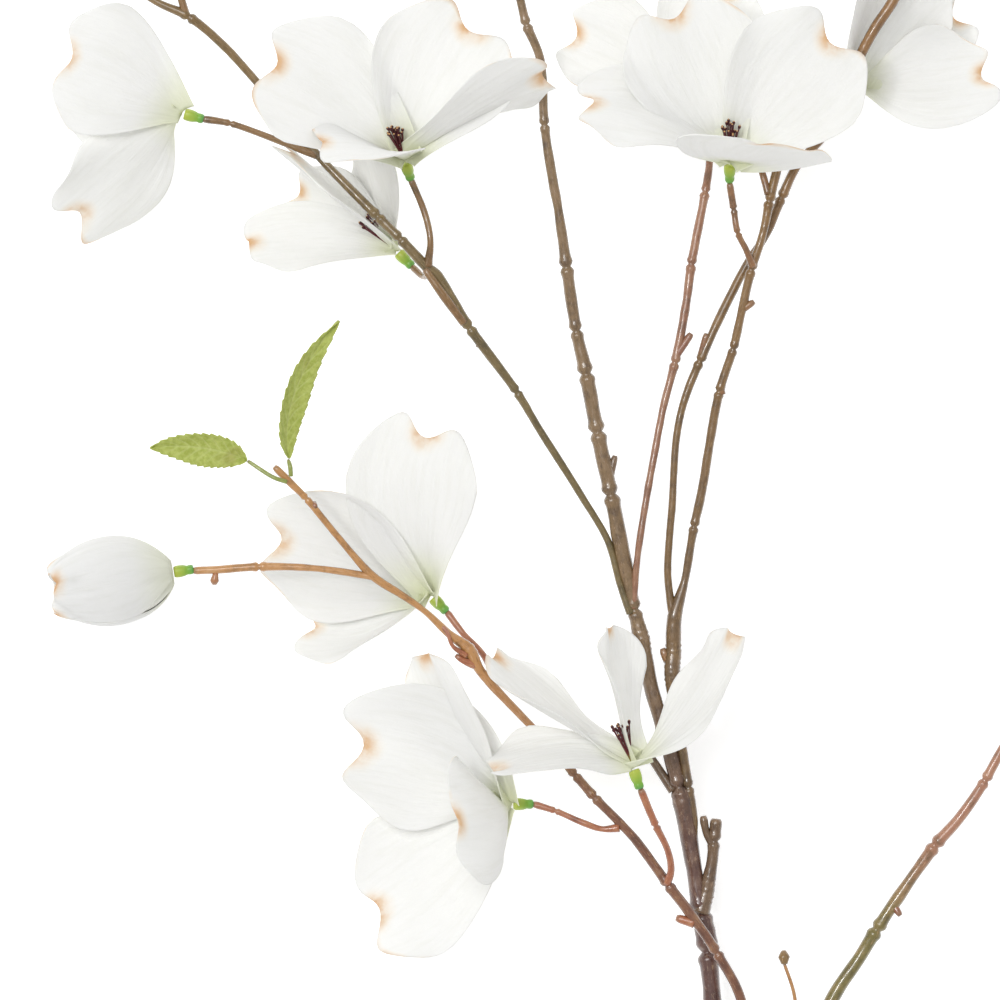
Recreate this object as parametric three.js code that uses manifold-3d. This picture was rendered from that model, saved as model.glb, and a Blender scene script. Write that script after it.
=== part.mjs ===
// Dogwood branch: an artificial spray of nine open flowers and four buds on jointed brown stems.
// Millimetres, +Z up. The spray lies on the plane z = 0 with its flowers up and its cut end at -Y.
import * as THREE from "three";
import Module from "manifold-3d";

const wasm = await Module();
wasm.setup();
const { Manifold, Mesh } = wasm;

// Driving dimensions
const BRACT_THICKNESS = 0.9; // fabric bract, stiffened
const CLEARANCE = 0.3; // gap left between two pieces that touch
const STEM_SIDES = 6;
const TRUNK_SIDES = 8;
const STEM_STEP = 14; // longest straight piece along a stem
const PINCH_WIDTH = 1.3; // half length of the waist between two stem joints
const PINCH_DEPTH = 0.78; // waist radius as a part of the stem radius
const PINCH_FLARE = 1.06; // radius just beside a waist, as a part of the stem radius
const PINCH_SHARE = 0.3; // most of a span that a waist may take
const COLLAR_RADIUS = 2.2;
const COLLAR_FOOT = 1.5; // radius of a collar where the stem enters it
const COLLAR_MOUTH = 1.9;
const COLLAR_LENGTH = 7.5;
const PIN_RADIUS = 0.8; // the pin that the bracts are threaded on
const PIN_LENGTH = 3;
const WIRE_RADIUS = 1.1;
const STAMEN_RADIUS = 0.55; // at the head
const STAMEN_FOOT = 0.9;
const STAMEN_LENGTH = 15;
const STAMEN_LEAN = 0.22;
const STAMEN_START = 3.4; // above the collar's mouth
const BRACT_ROWS = 5;
const BRACT_COLUMNS = 4;
const BRACT_SHOULDER = 0.74; // where a bract is widest, as a part of its length
const DISC_RADIUS = 3.2; // the disc that joins two opposite bracts
const LAYERS = [["outer", 0, 0.6], ["inner", 1, 1.8]]; // name, first bract, height over the collar
const BUD_LENGTH = 45;
const BUD_RADIUS = 16;
const BUD_SIDES = 16;
const BUD_PROFILE = [[0.005, 0.16], [0.1, 0.68], [0.25, 0.93], [0.5, 1], [0.8, 0.78],
  [1, 0.36]]; // length, radius
const LEAF_CUP = 0.12;
const LEAF_POINT = -0.05;
const LEAF_THINNER = 0.3; // a leaf is this much thinner than a bract
const FLATNESS = 0.1; // how far the simplified skin may leave the built one

const vec = (x, y, z) => new THREE.Vector3(x, y, z);

// ---------------------------------------------------------------- solids

// Builds a manifold-3d solid from rows of points: each row is a closed ring of the same length.
function solidOfRings(rings) {
  const sides = rings[0].length;
  const points = rings.flat();
  const faces = [];
  for (let row = 0; row + 1 < rings.length; row++)
    for (let side = 0; side < sides; side++) {
      const a = row * sides + side;
      const b = row * sides + ((side + 1) % sides);
      faces.push(a, b, b + sides, a, b + sides, a + sides);
    }
  for (const [row, flip] of [[0, true], [rings.length - 1, false]]) {
    const centre = points.length;
    points.push(rings[row].reduce((sum, p) => sum.add(p), vec(0, 0, 0)).divideScalar(sides));
    for (let side = 0; side < sides; side++) {
      const a = row * sides + side;
      const b = row * sides + ((side + 1) % sides);
      faces.push(...(flip ? [b, a, centre] : [a, b, centre]));
    }
  }
  return solidOfFaces(points, faces);
}

function solidOfFaces(points, faces) {
  const vertProperties = new Float32Array(points.flatMap((p) => [p.x, p.y, p.z]));
  const solid = new Manifold(new Mesh({ numProp: 3, vertProperties, triVerts: new Uint32Array(faces) }));
  if (solid.volume() > 0) return solid;
  const turned = new Uint32Array(faces);
  for (let i = 0; i < turned.length; i += 3) [turned[i], turned[i + 1]] = [turned[i + 1], turned[i]];
  return new Manifold(new Mesh({ numProp: 3, vertProperties, triVerts: turned }));
}

// The biggest piece of a solid, so that a cut never leaves loose crumbs.
const biggest = (solid) => solid.decompose().sort((a, b) => b.volume() - a.volume())[0];
const largest = (solid) => biggest(solid.simplify(FLATNESS));

// A tube through knots [x, y, z, radius, mark], swept with its own ring of points at each step.
function tube(knots, grow = 0, sides = STEM_SIDES) {
  const curve = new THREE.CatmullRomCurve3(knots.map(([x, y, z]) => vec(x, y, z)), false, "centripetal");
  const spans = knots.length - 1;
  const stations = [];
  for (let i = 0; i < spans; i++) {
    const length = lengthOf(knots, i);
    const steps = Math.max(1, Math.round(length / STEM_STEP));
    for (let k = 0; k < steps; k++) {
      const f = k / steps;
      stations.push([(i + f) / spans, knots[i][3] * (1 - f) + knots[i + 1][3] * f]);
    }
    if (knots[i][4] !== 1 || i === 0) continue;
    const before = Math.min(PINCH_WIDTH / lengthOf(knots, i - 1), PINCH_SHARE);
    const after = Math.min(PINCH_WIDTH / length, PINCH_SHARE);
    const waist = stations.findIndex(([t]) => Math.abs(t - i / spans) < 1e-9);
    const radius = knots[i][3];
    stations[waist][1] = radius * PINCH_DEPTH;
    stations.splice(waist, 0, [(i - before) / spans, radius * PINCH_FLARE]);
    stations.splice(waist + 2, 0, [(i + after) / spans, radius * PINCH_FLARE]);
  }
  stations.push([1, knots[spans][3]]);
  stations.sort((a, b) => a[0] - b[0]);
  const rings = stations.map(([t, radius]) => ring(curve.getPoint(t), curve.getTangent(t), radius + grow,
    sides));
  return solidOfRings(rings);
}

function lengthOf(knots, i) {
  return Math.hypot(...[0, 1, 2].map((k) => knots[i + 1][k] - knots[i][k]));
}

function ring(centre, along, radius, sides) {
  const up = Math.abs(along.z) > 0.95 ? vec(0, 1, 0) : vec(0, 0, 1);
  const across = vec(0, 0, 0).crossVectors(along, up).normalize();
  const rise = vec(0, 0, 0).crossVectors(across, along);
  return Array.from({ length: sides }, (_, k) => {
    const turn = (2 * Math.PI * k) / sides;
    return centre.clone()
      .addScaledVector(across, radius * Math.cos(turn))
      .addScaledVector(rise, radius * Math.sin(turn));
  });
}

// A round body along an axis, from rows of [distance along, radius].
function turned(start, axis, profile, sides = 10) {
  return solidOfRings(profile.map(([s, r]) => ring(start.clone().addScaledVector(axis, s), axis, r, sides)));
}

// ---------------------------------------------------------------- bracts

// Half width of a bract along its length (0 base, 1 notch), as a part of the greatest half width.
function widthAt(t) {
  const rise = Math.min(t / BRACT_SHOULDER, 1);
  const fall = Math.max(t - BRACT_SHOULDER, 0) / 0.3;
  return 0.16 + 0.84 * Math.sin((Math.PI / 2) * rise) ** 1.15 - 0.06 * fall * fall;
}

// How far a line of the bract reaches: the notch is at s = 0, the lobes near s = 0.5.
function reachAt(s, notch) {
  const a = Math.abs(s);
  return 1 + notch * (1 - Math.cos(2 * Math.PI * a)) * 0.62 - 0.3 * (1 - Math.sqrt(1 - a ** 3));
}

/* One bract as a closed sheet. tip: notch relative to the base; bow: how far the midrib's middle
   leaves the straight line; face: where its inside looks; cup, curl and wave bend its edges. */
function bract(base, petal, grow = 0) {
  const { tip, bow, face, width, cup = 0.15, twist = 0, curl = 0, wave = 0, notch = 0.1 } = petal;
  const p2 = vec(...tip);
  const p1 = p2.clone().multiplyScalar(0.5).add(vec(...bow));
  const half = (BRACT_THICKNESS + grow) / 2;
  const front = [];
  const back = [];
  for (let i = 0; i <= BRACT_ROWS; i++)
    for (let j = 0; j <= BRACT_COLUMNS; j++) {
      const s = (2 * j) / BRACT_COLUMNS - 1;
      const t = (i / BRACT_ROWS) * (reachAt(s, notch) + grow / p2.length());
      const along = p1.clone().multiplyScalar(2 - 4 * t).addScaledVector(p2, 2 * t).normalize();
      const side = vec(0, 0, 0).crossVectors(along, vec(...face)).normalize();
      side.applyAxisAngle(along, THREE.MathUtils.degToRad(twist) * (t - 0.3));
      const normal = vec(0, 0, 0).crossVectors(side, along);
      const w = (width / 2) * widthAt(Math.min(t, 1.1)) + grow / 2;
      const bend = cup * width * s * s * (1.1 - 0.6 * t)
        + curl * width * Math.max(t - 0.6, 0) ** 2
        + wave * Math.abs(s) ** 3 * Math.sin(7 * t + 2 * s);
      const point = base.clone()
        .addScaledVector(p1, 2 * t * (1 - t)).addScaledVector(p2, t * t)
        .addScaledVector(side, s * w).addScaledVector(normal, bend);
      front.push(point.clone().addScaledVector(normal, half));
      back.push(point.clone().addScaledVector(normal, -half));
    }
  return solidOfFaces([...front, ...back], sheetFaces(BRACT_ROWS, BRACT_COLUMNS));
}

function sheetFaces(rows, columns) {
  const at = (i, j) => i * (columns + 1) + j;
  const under = (rows + 1) * (columns + 1);
  const faces = [];
  for (let i = 0; i < rows; i++)
    for (let j = 0; j < columns; j++) {
      const [a, b, c, d] = [at(i, j), at(i, j + 1), at(i + 1, j + 1), at(i + 1, j)];
      faces.push(a, b, c, a, c, d, under + a, under + c, under + b, under + a, under + d, under + c);
    }
  const wall = (a, b) => faces.push(b, a, under + a, b, under + a, under + b);
  for (let j = 0; j < columns; j++) {
    wall(at(0, j), at(0, j + 1));
    wall(at(rows, j + 1), at(rows, j));
  }
  for (let i = 0; i < rows; i++) {
    wall(at(i + 1, 0), at(i, 0));
    wall(at(i, columns), at(i + 1, columns));
  }
  return faces;
}

// ---------------------------------------------------------------- the spray's own measurements

// Stems: knots of [x, y, z, radius, mark]. Mark 1 is a pinched joint and 2 a wrinkled one.
const STEMS = {
  trunk: [
    [87, -316, 5, 4.2], [85, -290, 7, 4, 1], [82.5, -250, 11, 3.9, 1], [79, -212, 14, 3.8, 1],
    [76.5, -178, 17, 3.5], [75, -163, 18, 3.4, 1], [74, -155.5, 18.5, 3.8], [72.5, -148.5, 19, 3.3, 1],
    [70, -133, 20, 2.8], [66, -109, 21, 3.8], [64.5, -103.5, 21.5, 2.5, 1], [62, -93.5, 22, 2.9],
    [59.5, -85, 22.5, 2.7, 1], [55, -69.5, 23, 2.7], [52.5, -59, 23.5, 2.9], [51, -50.5, 24, 3.2, 2],
    [48.5, -39.5, 25, 2.2, 1], [45, -23, 26, 3], [40, 2, 28, 2.7, 1], [35, 24.5, 29.5, 2.6, 1],
    [31, 45.5, 31, 2.5, 1], [27.5, 61, 32, 2.1, 1], [24, 84, 33.5, 2.3, 1], [21, 104.5, 35, 1.7],
    [19, 115, 35.5, 1.9], [16, 135, 36.5, 1.6, 1], [14.5, 158.5, 38, 1.6], [9.5, 171, 39, 1.7, 1],
    [7.5, 179, 39.5, 1.6], [3, 200, 41, 1.5, 1], [0, 216, 42, 1.4],
  ],
  right_branch: [
    [70.3, -126, 20.8, 0.9], [70, -116, 21.5, 1.5], [68, -103.5, 22, 1.7, 1], [65, -86, 22.5, 1.9, 1],
    [63.5, -76.5, 23, 2], [62, -63, 24, 2.9, 2], [62.5, -55, 24, 2.8, 2], [63, -42, 25, 2.7],
    [66.5, -29.5, 25.5, 1.5], [70, -9.5, 27, 1.6, 1], [72.5, 2, 28, 1.7], [79, 39, 31, 1.6, 1],
    [84, 54.5, 32.5, 1.6, 1], [87.5, 70, 34, 1.6], [90.5, 83, 35, 1.7, 1], [94.5, 95.5, 36, 1.5],
    [97, 107.5, 36, 1.7, 1], [100.5, 123, 35, 1.6], [103, 136, 35, 1.5], [105, 147, 34, 1.4],
  ],
  outer_branch: [
    [62.5, -43, 25, 1.6], [60.5, -27, 25.5, 1.4], [62, -2.5, 27, 1.4], [64, 25.5, 28, 1.4],
    [67.5, 39, 28.5, 1.5], [72, 50, 29, 1.7, 1], [77, 61, 29.5, 1.6], [83, 73.5, 29, 1.6],
    [89, 85, 28.5, 1.6], [96, 96, 29, 1.6], [101.5, 109, 30, 1.7, 1], [107, 120.5, 31, 1.6],
    [117, 132, 33, 1.6], [125.5, 149.5, 36, 1.7], [128, 156.5, 37, 1.8, 1], [135, 170, 38.5, 1.9],
    [141, 179, 39, 2], [149, 196, 38, 1.8, 1], [154, 212, 36, 1.5],
  ],
  centre_branch: [
    [48, -39, 26, 1.3], [49.5, -21, 28, 1.2], [52, -4, 28.5, 1.3], [56, 18.5, 28.5, 1.4], [59, 34, 28, 1.4],
    [63, 49.5, 28, 1.6, 1], [67, 70, 27.5, 1.6], [69, 85, 27, 1.7, 1], [74, 111, 25, 1.6, 1],
    [75.5, 121.5, 23, 1.4], [75, 130, 21, 1.3], [73, 137, 20.5, 1.3],
  ],
  left_branch: [
    [47, -41, 26, 1.4], [43, -29.5, 26.5, 1.3], [39, -15, 27, 1.3], [29, 2, 28.5, 1.3], [14.5, 25, 31, 1.4],
    [6, 39, 33, 1.6, 1], [-11, 62, 36, 1.8, 1], [-23, 81, 38, 2.3], [-26, 83.5, 38.5, 2],
    [-36, 94, 39, 1.7, 1], [-44, 102, 38, 1.8, 1], [-65, 123.5, 33, 1.5], [-88, 151, 32, 1.5],
    [-100, 164, 33, 1.6], [-112, 174, 34, 1.8, 1], [-123, 179, 34, 1.3], [-134, 186, 34, 1.2],
  ],
  lower_branch: [
    [82, -234, 16, 2], [87, -216, 20, 2], [90, -196, 22, 1.8], [86, -177.5, 24.5, 1.8],
      [78, -163, 27, 1.8, 1],
    [70, -151, 28.5, 1.9], [60.5, -138.5, 30, 1.8, 1], [48, -121.5, 31, 1.6], [34, -107, 32.5, 1.7, 1],
    [27, -99, 33, 1.6, 1], [16, -86.5, 34, 1.4], [-7, -61.5, 37.5, 1.7], [-11, -54, 38.5, 2.4, 2],
    [-18.5, -48, 40, 1.5], [-27, -40, 42, 1.1], [-35.5, -34, 43, 1.3], [-45.5, -27.5, 44, 1.5],
    [-58, -13.5, 46, 1.2], [-69.5, 0.5, 48, 1.2, 1], [-75, 6, 48.5, 1.4], [-81, 12, 49.5, 1.3],
  ],
  bud_twig: [
    [-44, -28, 44, 1.3], [-49, -27, 44, 1.3], [-67, -24.5, 45, 1.2], [-86.5, -24, 45, 1.6, 1],
    [-101, -25, 45, 1.4], [-110.2, -25.4, 45, 1.5],
  ],
  low_right_branch: [
    [85, -262, 11, 2.6], [98, -230, 13, 2.6], [111, -200, 15, 2.7, 1], [121.5, -177.5, 17, 2.5],
    [129, -166.5, 18, 2.4], [136, -155, 19, 2.4, 1], [151, -133, 21, 2.1], [157, -124.5, 22, 2.3, 1],
    [165.5, -115, 23, 2], [175, -101, 24, 1.9, 1], [184, -84, 25, 1.4],
  ],
  knob_filament: [
    [110, -199, 15, 0.8], [107.5, -188, 18, 0.7], [106, -177.5, 19, 0.7], [102.5, -167, 20, 0.6],
  ],
};

// Side shoots moulded in one piece with a stem: cut stubs, thorns and flower stalks.
const SHOOTS = {
  trunk: [
    [[62.5, -105, 21.5, 1.5], [53.5, -91.5, 21, 1.4]],
    [[72.5, -149, 19.5, 2.9], [74.5, -141, 20, 2.7, 2], [76.3, -132, 21, 2.2],
      [77.3, -123, 21.5, 2.1, 1], [78, -115, 22, 2.3]],
    [[77, -125, 21.5, 1.4], [74.5, -120, 22, 1.4], [73.3, -114, 22.5, 1.5]],
    [[38.5, 3, 28, 1.4], [41.5, 16, 28.5, 1.2]],
    [[50.5, -52, 24, 1.5], [47.5, -54.7, 24, 1.4]],
  ],
  right_branch: [
    [[80, 38, 31, 1.2], [79, 42.5, 31.5, 1.2]], [[88, 69, 34, 1.2], [91.5, 71.5, 34, 1.2]],
    [[96.5, 110, 36, 1.2], [93, 123, 35, 1.2], [91, 131, 34, 1.2]], [[60.5, -58, 24, 1.5],
      [58.5, -53.5, 24.5, 1.3]],
    [[91, 84, 36, 1.3], [88.5, 90, 38.5, 1.1], [85.5, 96, 41, 1.1, 1], [84, 104.5, 41.2, 1.2, 1],
      [82.5, 114, 42.2, 1.35]],
  ],
  outer_branch: [
    [[72.5, 52, 29, 1.3], [74.5, 60, 30, 1.3]],
    [[121, 140, 34.5, 1.3], [120, 143.5, 31.5, 1.2], [120.8, 144.3, 27.2, 1.35]],
  ],
  centre_branch: [[[63.5, 52, 28, 1.3], [69, 60, 28.5, 1.4]]],
  left_branch: [
    [[-8, 56, 35, 1], [-5.5, 54.5, 36.5, 0.7]], [[-13, 63.5, 37.5, 1.3], [-20, 73, 39.8, 1.6],
      [-27, 83, 40, 1.5]], [[-113, 174, 34, 1.3], [-117, 190, 35, 1.3], [-118, 200, 35, 1.2]],
    [[-66, 124, 33, 1.3], [-81.5, 130, 33, 1.2], [-97, 135.5, 34, 1.2, 1], [-107.2, 137.2, 34, 1.35]],
    [[-26, 84, 39, 1.5], [-25, 93, 40.5, 1.2], [-27, 103, 39.5, 1.2], [-32.2, 115.6, 39.8, 1.35]],
    [[-25, 82.5, 36, 1.3], [-27.5, 80.5, 28, 1.1], [-31.8, 84.3, 22.2, 1.35]],
  ],
  lower_branch: [
    [[70, -152.5, 28.5, 1.6], [63.5, -150.5, 28, 1.6]],
    [[-9, -59.5, 38, 1.3], [-13.5, -57.5, 39.5, 1.3], [-16, -55.8, 40, 1.1]],
    [[-12, -56, 40, 1], [-17, -52.5, 41.5, 0.7], [-19, -47.5, 41.5, 0.8], [-21.5, -45, 41, 0.9]],
      [[-67, -1.5, 47.5, 1.1], [-66, -2.5, 49, 0.9]],
    [[-2, -62.5, 36.5, 1.3], [-7, -54.5, 31, 1.1], [-13, -48.5, 27, 1.1], [-19.3, -40.2, 25, 1.35]],
    [[43, -118, 31.5, 1.5], [37, -118.5, 31, 1.1], [30.5, -116.5, 31, 1.2], [20, -112, 30.5, 1.1, 1],
      [11.8, -109.5, 29.6, 1.35]],
    [[60, -138, 30.5, 1.5], [61.5, -134, 33, 1.3], [60.5, -126.5, 37, 1.2], [56, -117, 42, 1.3, 1],
      [50.4, -103.8, 45.3, 1.4]],
  ],
  bud_twig: [[[-102, -26, 45, 0.8], [-102.5, -29, 44.5, 1.6], [-102.5, -30.5, 44.5, 1]]],
  low_right_branch: [[[142, -146, 20, 1.2], [144.5, -150, 21, 1.2]]],
  knob_filament: [[[102.7, -167.5, 20, 1], [102.5, -165, 20.2, 2.1], [102.4, -162.5, 20.3, 1]]],
};

// Flowers: base where the bracts meet, the way the flower faces, and its four bracts.
const FLOWERS = {
  flower_1: {
    base: [-114, 139, 34], axis: [-0.96, 0.26, 0],
    bracts: [
      { tip: [-39.5, 19.5, 12], bow: [-2, 4, 9], face: [-0.2, 0, -1], width: 50, cup: -0.06, wave: 2.5 },
      { tip: [-35, -37, 2], bow: [5, -1, 4], face: [-0.45, 0.4, -0.8], width: 43, cup: 0.1, wave: 2.5 },
      { tip: [-36, 4, -31], bow: [2, 0, -6], face: [-0.6, 0, 0.8], width: 36, cup: 0.1 },
      { tip: [-34, 22, -20], bow: [2, 2, -6], face: [-0.6, -0.2, 0.8], width: 34, cup: 0.1 },
    ],
  },
  flower_2: {
    base: [-34, 121, 44], axis: [-0.25, 0.75, 0.6],
    bracts: [
      { tip: [-46, 34, 8], bow: [1, 8, 6], face: [0.2, 0.3, 0.9], width: 53, cup: 0.1, wave: 2.5 },
      { tip: [50, 29, 12], bow: [-4, 3, 5], face: [-0.42, 0.8, -0.3], width: 42, cup: 0.05, wave: 2,
        notch: 0.05, twist: -4 },
      { tip: [23, 47, -2], bow: [-4, 3, 4], face: [-0.1, -0.1, 1], width: 54, cup: 0.08, wave: 2.5 },
      { tip: [-29, 7, 27], bow: [6, 2, 9], face: [-0.05, 0.9, 0.35], width: 54, cup: 0.08, wave: 1.5,
        curl: -0.3, notch: 0.05 },
    ],
  },
  flower_3: {
    base: [-37, 89.5, 22], axis: [-0.7, 0.7, 0],
    bracts: [
      { tip: [-53, 2, 6], bow: [3, 7, 0], face: [0.05, 0.55, 0.83], width: 33, cup: 0.1, wave: 1.5,
        notch: 0.02, twist: 25 },
      { tip: [-9, 37, -4], bow: [2, -2, 2], face: [-0.8, -0.2, 0.6], width: 34, cup: 0.1 },
      { tip: [-38, 34, 10], bow: [8, -5, 2], face: [0.68, 0.7, 0.12], width: 26, cup: 0.06 },
      { tip: [-34, 20, -20], bow: [0, 0, -4], face: [-0.5, 0.3, 0.8], width: 32, cup: 0.1 },
    ],
  },
  flower_4: {
    base: [82.5, 120.5, 46.5], axis: [0, 0.8, 0.6],
    bracts: [
      { tip: [-20, 52, 2], bow: [0, 3, 4], face: [0.1, -0.1, 1], width: 51, cup: 0.08, wave: 2.5 },
      { tip: [12, 9, 33], bow: [0, -4, 8], face: [0.2, 0.93, 0.2], width: 60, cup: -0.04, wave: 1,
        curl: -0.5, notch: 0.06 },
      { tip: [36, 43, 6], bow: [0, 3, 4], face: [-0.1, -0.1, 1], width: 52, cup: 0.08, wave: 2.5 },
      { tip: [-49, 20, 12], bow: [2, 8, 4], face: [0.25, 0.6, 0.72], width: 38, cup: 0.1, wave: 3 },
    ],
  },
  flower_5: {
    base: [67, 145, 20], axis: [-0.5, 0.6, -0.3],
    bracts: [
      { tip: [-39, 22, -2], bow: [0, 4, 4], face: [0.2, 0.3, 0.9], width: 40, cup: 0.1, wave: 2.5 },
      { tip: [24, 22, -17], bow: [0, 2, -2], face: [-0.3, 0, 1], width: 34, cup: 0.1 },
      { tip: [14, 37, -2], bow: [0, 2, 4], face: [0, 0, 1], width: 42, cup: 0.1, wave: 2 },
      { tip: [-22, 12, -18], bow: [0, 2, -4], face: [0, 0.3, 1], width: 34, cup: 0.1 },
    ],
  },
  flower_6: {
    base: [127, 148, 27], axis: [0.8, 0.45, -0.45],
    bracts: [
      { tip: [24, 44, 6], bow: [-5, 2, 4], face: [0.6, -0.3, 0.7], width: 50, cup: 0.1, wave: 2.5 },
      { tip: [45, 4, 4], bow: [0, -2, 5], face: [0.2, 0.5, 0.85], width: 44, cup: 0.1, wave: 3 },
      { tip: [37, 26, -22], bow: [-2, 0, -6], face: [0.5, 0.3, 0.8], width: 36, cup: 0.1 },
      { tip: [36, 10, -18], bow: [0, -3, -4], face: [0.4, 0.3, 0.8], width: 32, cup: 0.1 },
    ],
  },
  flower_7: {
    base: [-24.5, -35, 25], axis: [-0.7, 0.7, 0],
    bracts: [
      { tip: [-2, 57, 14], bow: [-10, 2, 9], face: [-0.3, -0.1, 0.95], width: 50, cup: 0.12, wave: 2.5 },
      { tip: [-41, -13, -6], bow: [0, -7, 4], face: [-0.2, 0.8, 0.6], width: 44, cup: 0.12, wave: 2.5 },
      { tip: [-54, 20, -2], bow: [2, 4, 3], face: [0.1, -0.4, 0.9], width: 51, cup: 0.12, wave: 2.5 },
      { tip: [-30, 24, -24], bow: [0, 0, -6], face: [-0.5, 0.5, 0.7], width: 34, cup: 0.1 },
    ],
  },
  flower_8: {
    base: [4.5, -109.5, 31], axis: [-1, 0, 0.2],
    bracts: [
      { tip: [-31, 54, 12], bow: [-6, -2, 4], face: [-0.66, -0.42, 0.6], width: 36, cup: 0.1, wave: 2,
        notch: 0.01 },
      { tip: [-19, -5, 33], bow: [8, -2, 6], face: [-0.81, -0.25, -0.5], width: 48, cup: 0.12, wave: 1,
        notch: 0.02 },
      { tip: [-53, 21, 2], bow: [8, 7, 7], face: [-0.2, -0.3, 0.95], width: 57, cup: 0.08, wave: 2.5 },
      { tip: [-46, -38, -8], bow: [0, -5, 5], face: [-0.2, 0.3, 0.95], width: 57, cup: 0.08, wave: 2.5 },
    ],
  },
  flower_9: {
    base: [48, -96.5, 46], axis: [-0.3, 0.95, 0.1],
    bracts: [
      { tip: [36, 48, 12], bow: [7, -5, 4], face: [-0.7, 0.55, 0.45], width: 38, cup: 0.06, wave: 3,
        notch: 0.02 },
      { tip: [-50, -1, 12], bow: [5, 9, 5], face: [0.1, 0.72, 0.65], width: 38, cup: 0.05, wave: 3,
        notch: 0.03, twist: 45 },
      { tip: [-8, 50, -4], bow: [-2, 0, -3], face: [0.88, 0.05, 0.42], width: 32, cup: 0.15, wave: 2,
        notch: 0.02 },
      { tip: [-50, 38, -8], bow: [4, -5, 0], face: [0.59, 0.71, 0.36], width: 34, cup: 0.08, wave: 3,
        notch: 0.03 },
    ],
  },
};

// Buds: base, the way each points, and its size beside the largest.
const BUDS = {
  bud: { base: [-117.5, -26, 45], axis: [-1, -0.15, 0], size: 1 },
  top_bud: { base: [-0.5, 224, 42.5], axis: [-0.2, 1, 0], size: 0.55 },
  right_bud: { base: [156.5, 219, 34.5], axis: [0.4, 0.9, -0.1], size: 0.55 },
  low_bud: { base: [187.5, -77, 25.5], axis: [0.4, 0.9, 0.1], size: 0.5 },
};

// Leaves: base, midrib bow and tip, greatest width and the way the upper face looks.
const LEAVES = {
  leaf_1: { base: [-91, 14.5, 50], tip: [-34.5, 4.5, 4], bow: [2, 4, 3], width: 12.5, face: [0.2, -0.4,
    0.9] },
  leaf_2: { base: [-76, 15, 50], tip: [18, 49.5, 6], bow: [-13, -2, 3], width: 12, face: [0.7, 0.1, 0.7] },
};
const PETIOLES = {
  petiole_1: [[-76.5, 6.5, 50.8, 0.8], [-81, 8, 51.5, 0.8], [-90.5, 14, 50, 0.7]],
  petiole_2: [[-75, 8.5, 50.6, 0.8], [-75.3, 12, 51, 0.8], [-76, 14.5, 50.2, 0.7]],
};

// ---------------------------------------------------------------- sub-parts

const MATERIALS = {
  bark: { color: 0x6b5548, roughness: 0.42 },
  wire: { color: 0x9a9a96, roughness: 0.35, metalness: 0.9 },
  fabric: { color: 0xf4f3ef, roughness: 0.85 },
  collar: { color: 0x8fb04a, roughness: 0.4 },
  stamen: { color: 0x5a1622, roughness: 0.6 },
  leaf: { color: 0x9caa53, roughness: 0.7 },
};

const spray = new THREE.Group();
spray.name = "dogwood_branch";
const placed = []; // every piece so far, and its swollen twin

// Adds one named piece, cut back to leave the clearance round every piece that is already there.
function add(name, slot, solid, swollen) {
  let body = solid;
  const near = (a, b) => [0, 1, 2].every((k) => a.min[k] < b.max[k] && b.min[k] < a.max[k]);
  const cutBy = (others) => others.filter((other) => near(body.boundingBox(), other.boundingBox()))
    .reduce((left, other) => left.subtract(other), body);
  body = largest(cutBy(placed.map((other) => other.swollen)));
  body = biggest(cutBy(placed.map((other) => other.body)));
  placed.push({ body, swollen });
  const mesh = new THREE.Mesh(geometryOf(body), new THREE.MeshStandardMaterial(MATERIALS[slot]));
  mesh.name = name;
  spray.add(mesh);
}

function geometryOf(solid) {
  const { vertProperties, triVerts } = solid.getMesh();
  const geometry = new THREE.BufferGeometry();
  geometry.setAttribute("position", new THREE.BufferAttribute(new Float32Array(vertProperties), 3));
  geometry.setIndex(new THREE.BufferAttribute(new Uint32Array(triVerts), 1));
  geometry.computeVertexNormals();
  return geometry;
}

const union = (solids) => solids.reduce((sum, solid) => sum.add(solid));

function addStem(name, grow = CLEARANCE) {
  const parts = [STEMS[name], ...(SHOOTS[name] ?? [])];
  const sides = (k) => (name === "trunk" && k === 0 ? TRUNK_SIDES : STEM_SIDES);
  const build = (g) => union(parts.map((knots, k) => tube(knots, g, sides(k))));
  let solid = build(0);
  if (name === "trunk") solid = solid.subtract(trunkWire(CLEARANCE, 2));
  add(name, "bark", solid, build(grow));
}

// The wire that the trunk is moulded over, from just outside the cut end.
function trunkWire(grow, past = 0) {
  const knots = STEMS.trunk.slice(0, 5).map(([x, y, z]) => [x, y, z, WIRE_RADIUS]);
  const [x, y, z, r] = knots[0];
  return tube([[x + 0.1 * past, y - 0.3 - past, z - 0.08 * past, r], ...knots.slice(1)], grow, 6);
}

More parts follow.
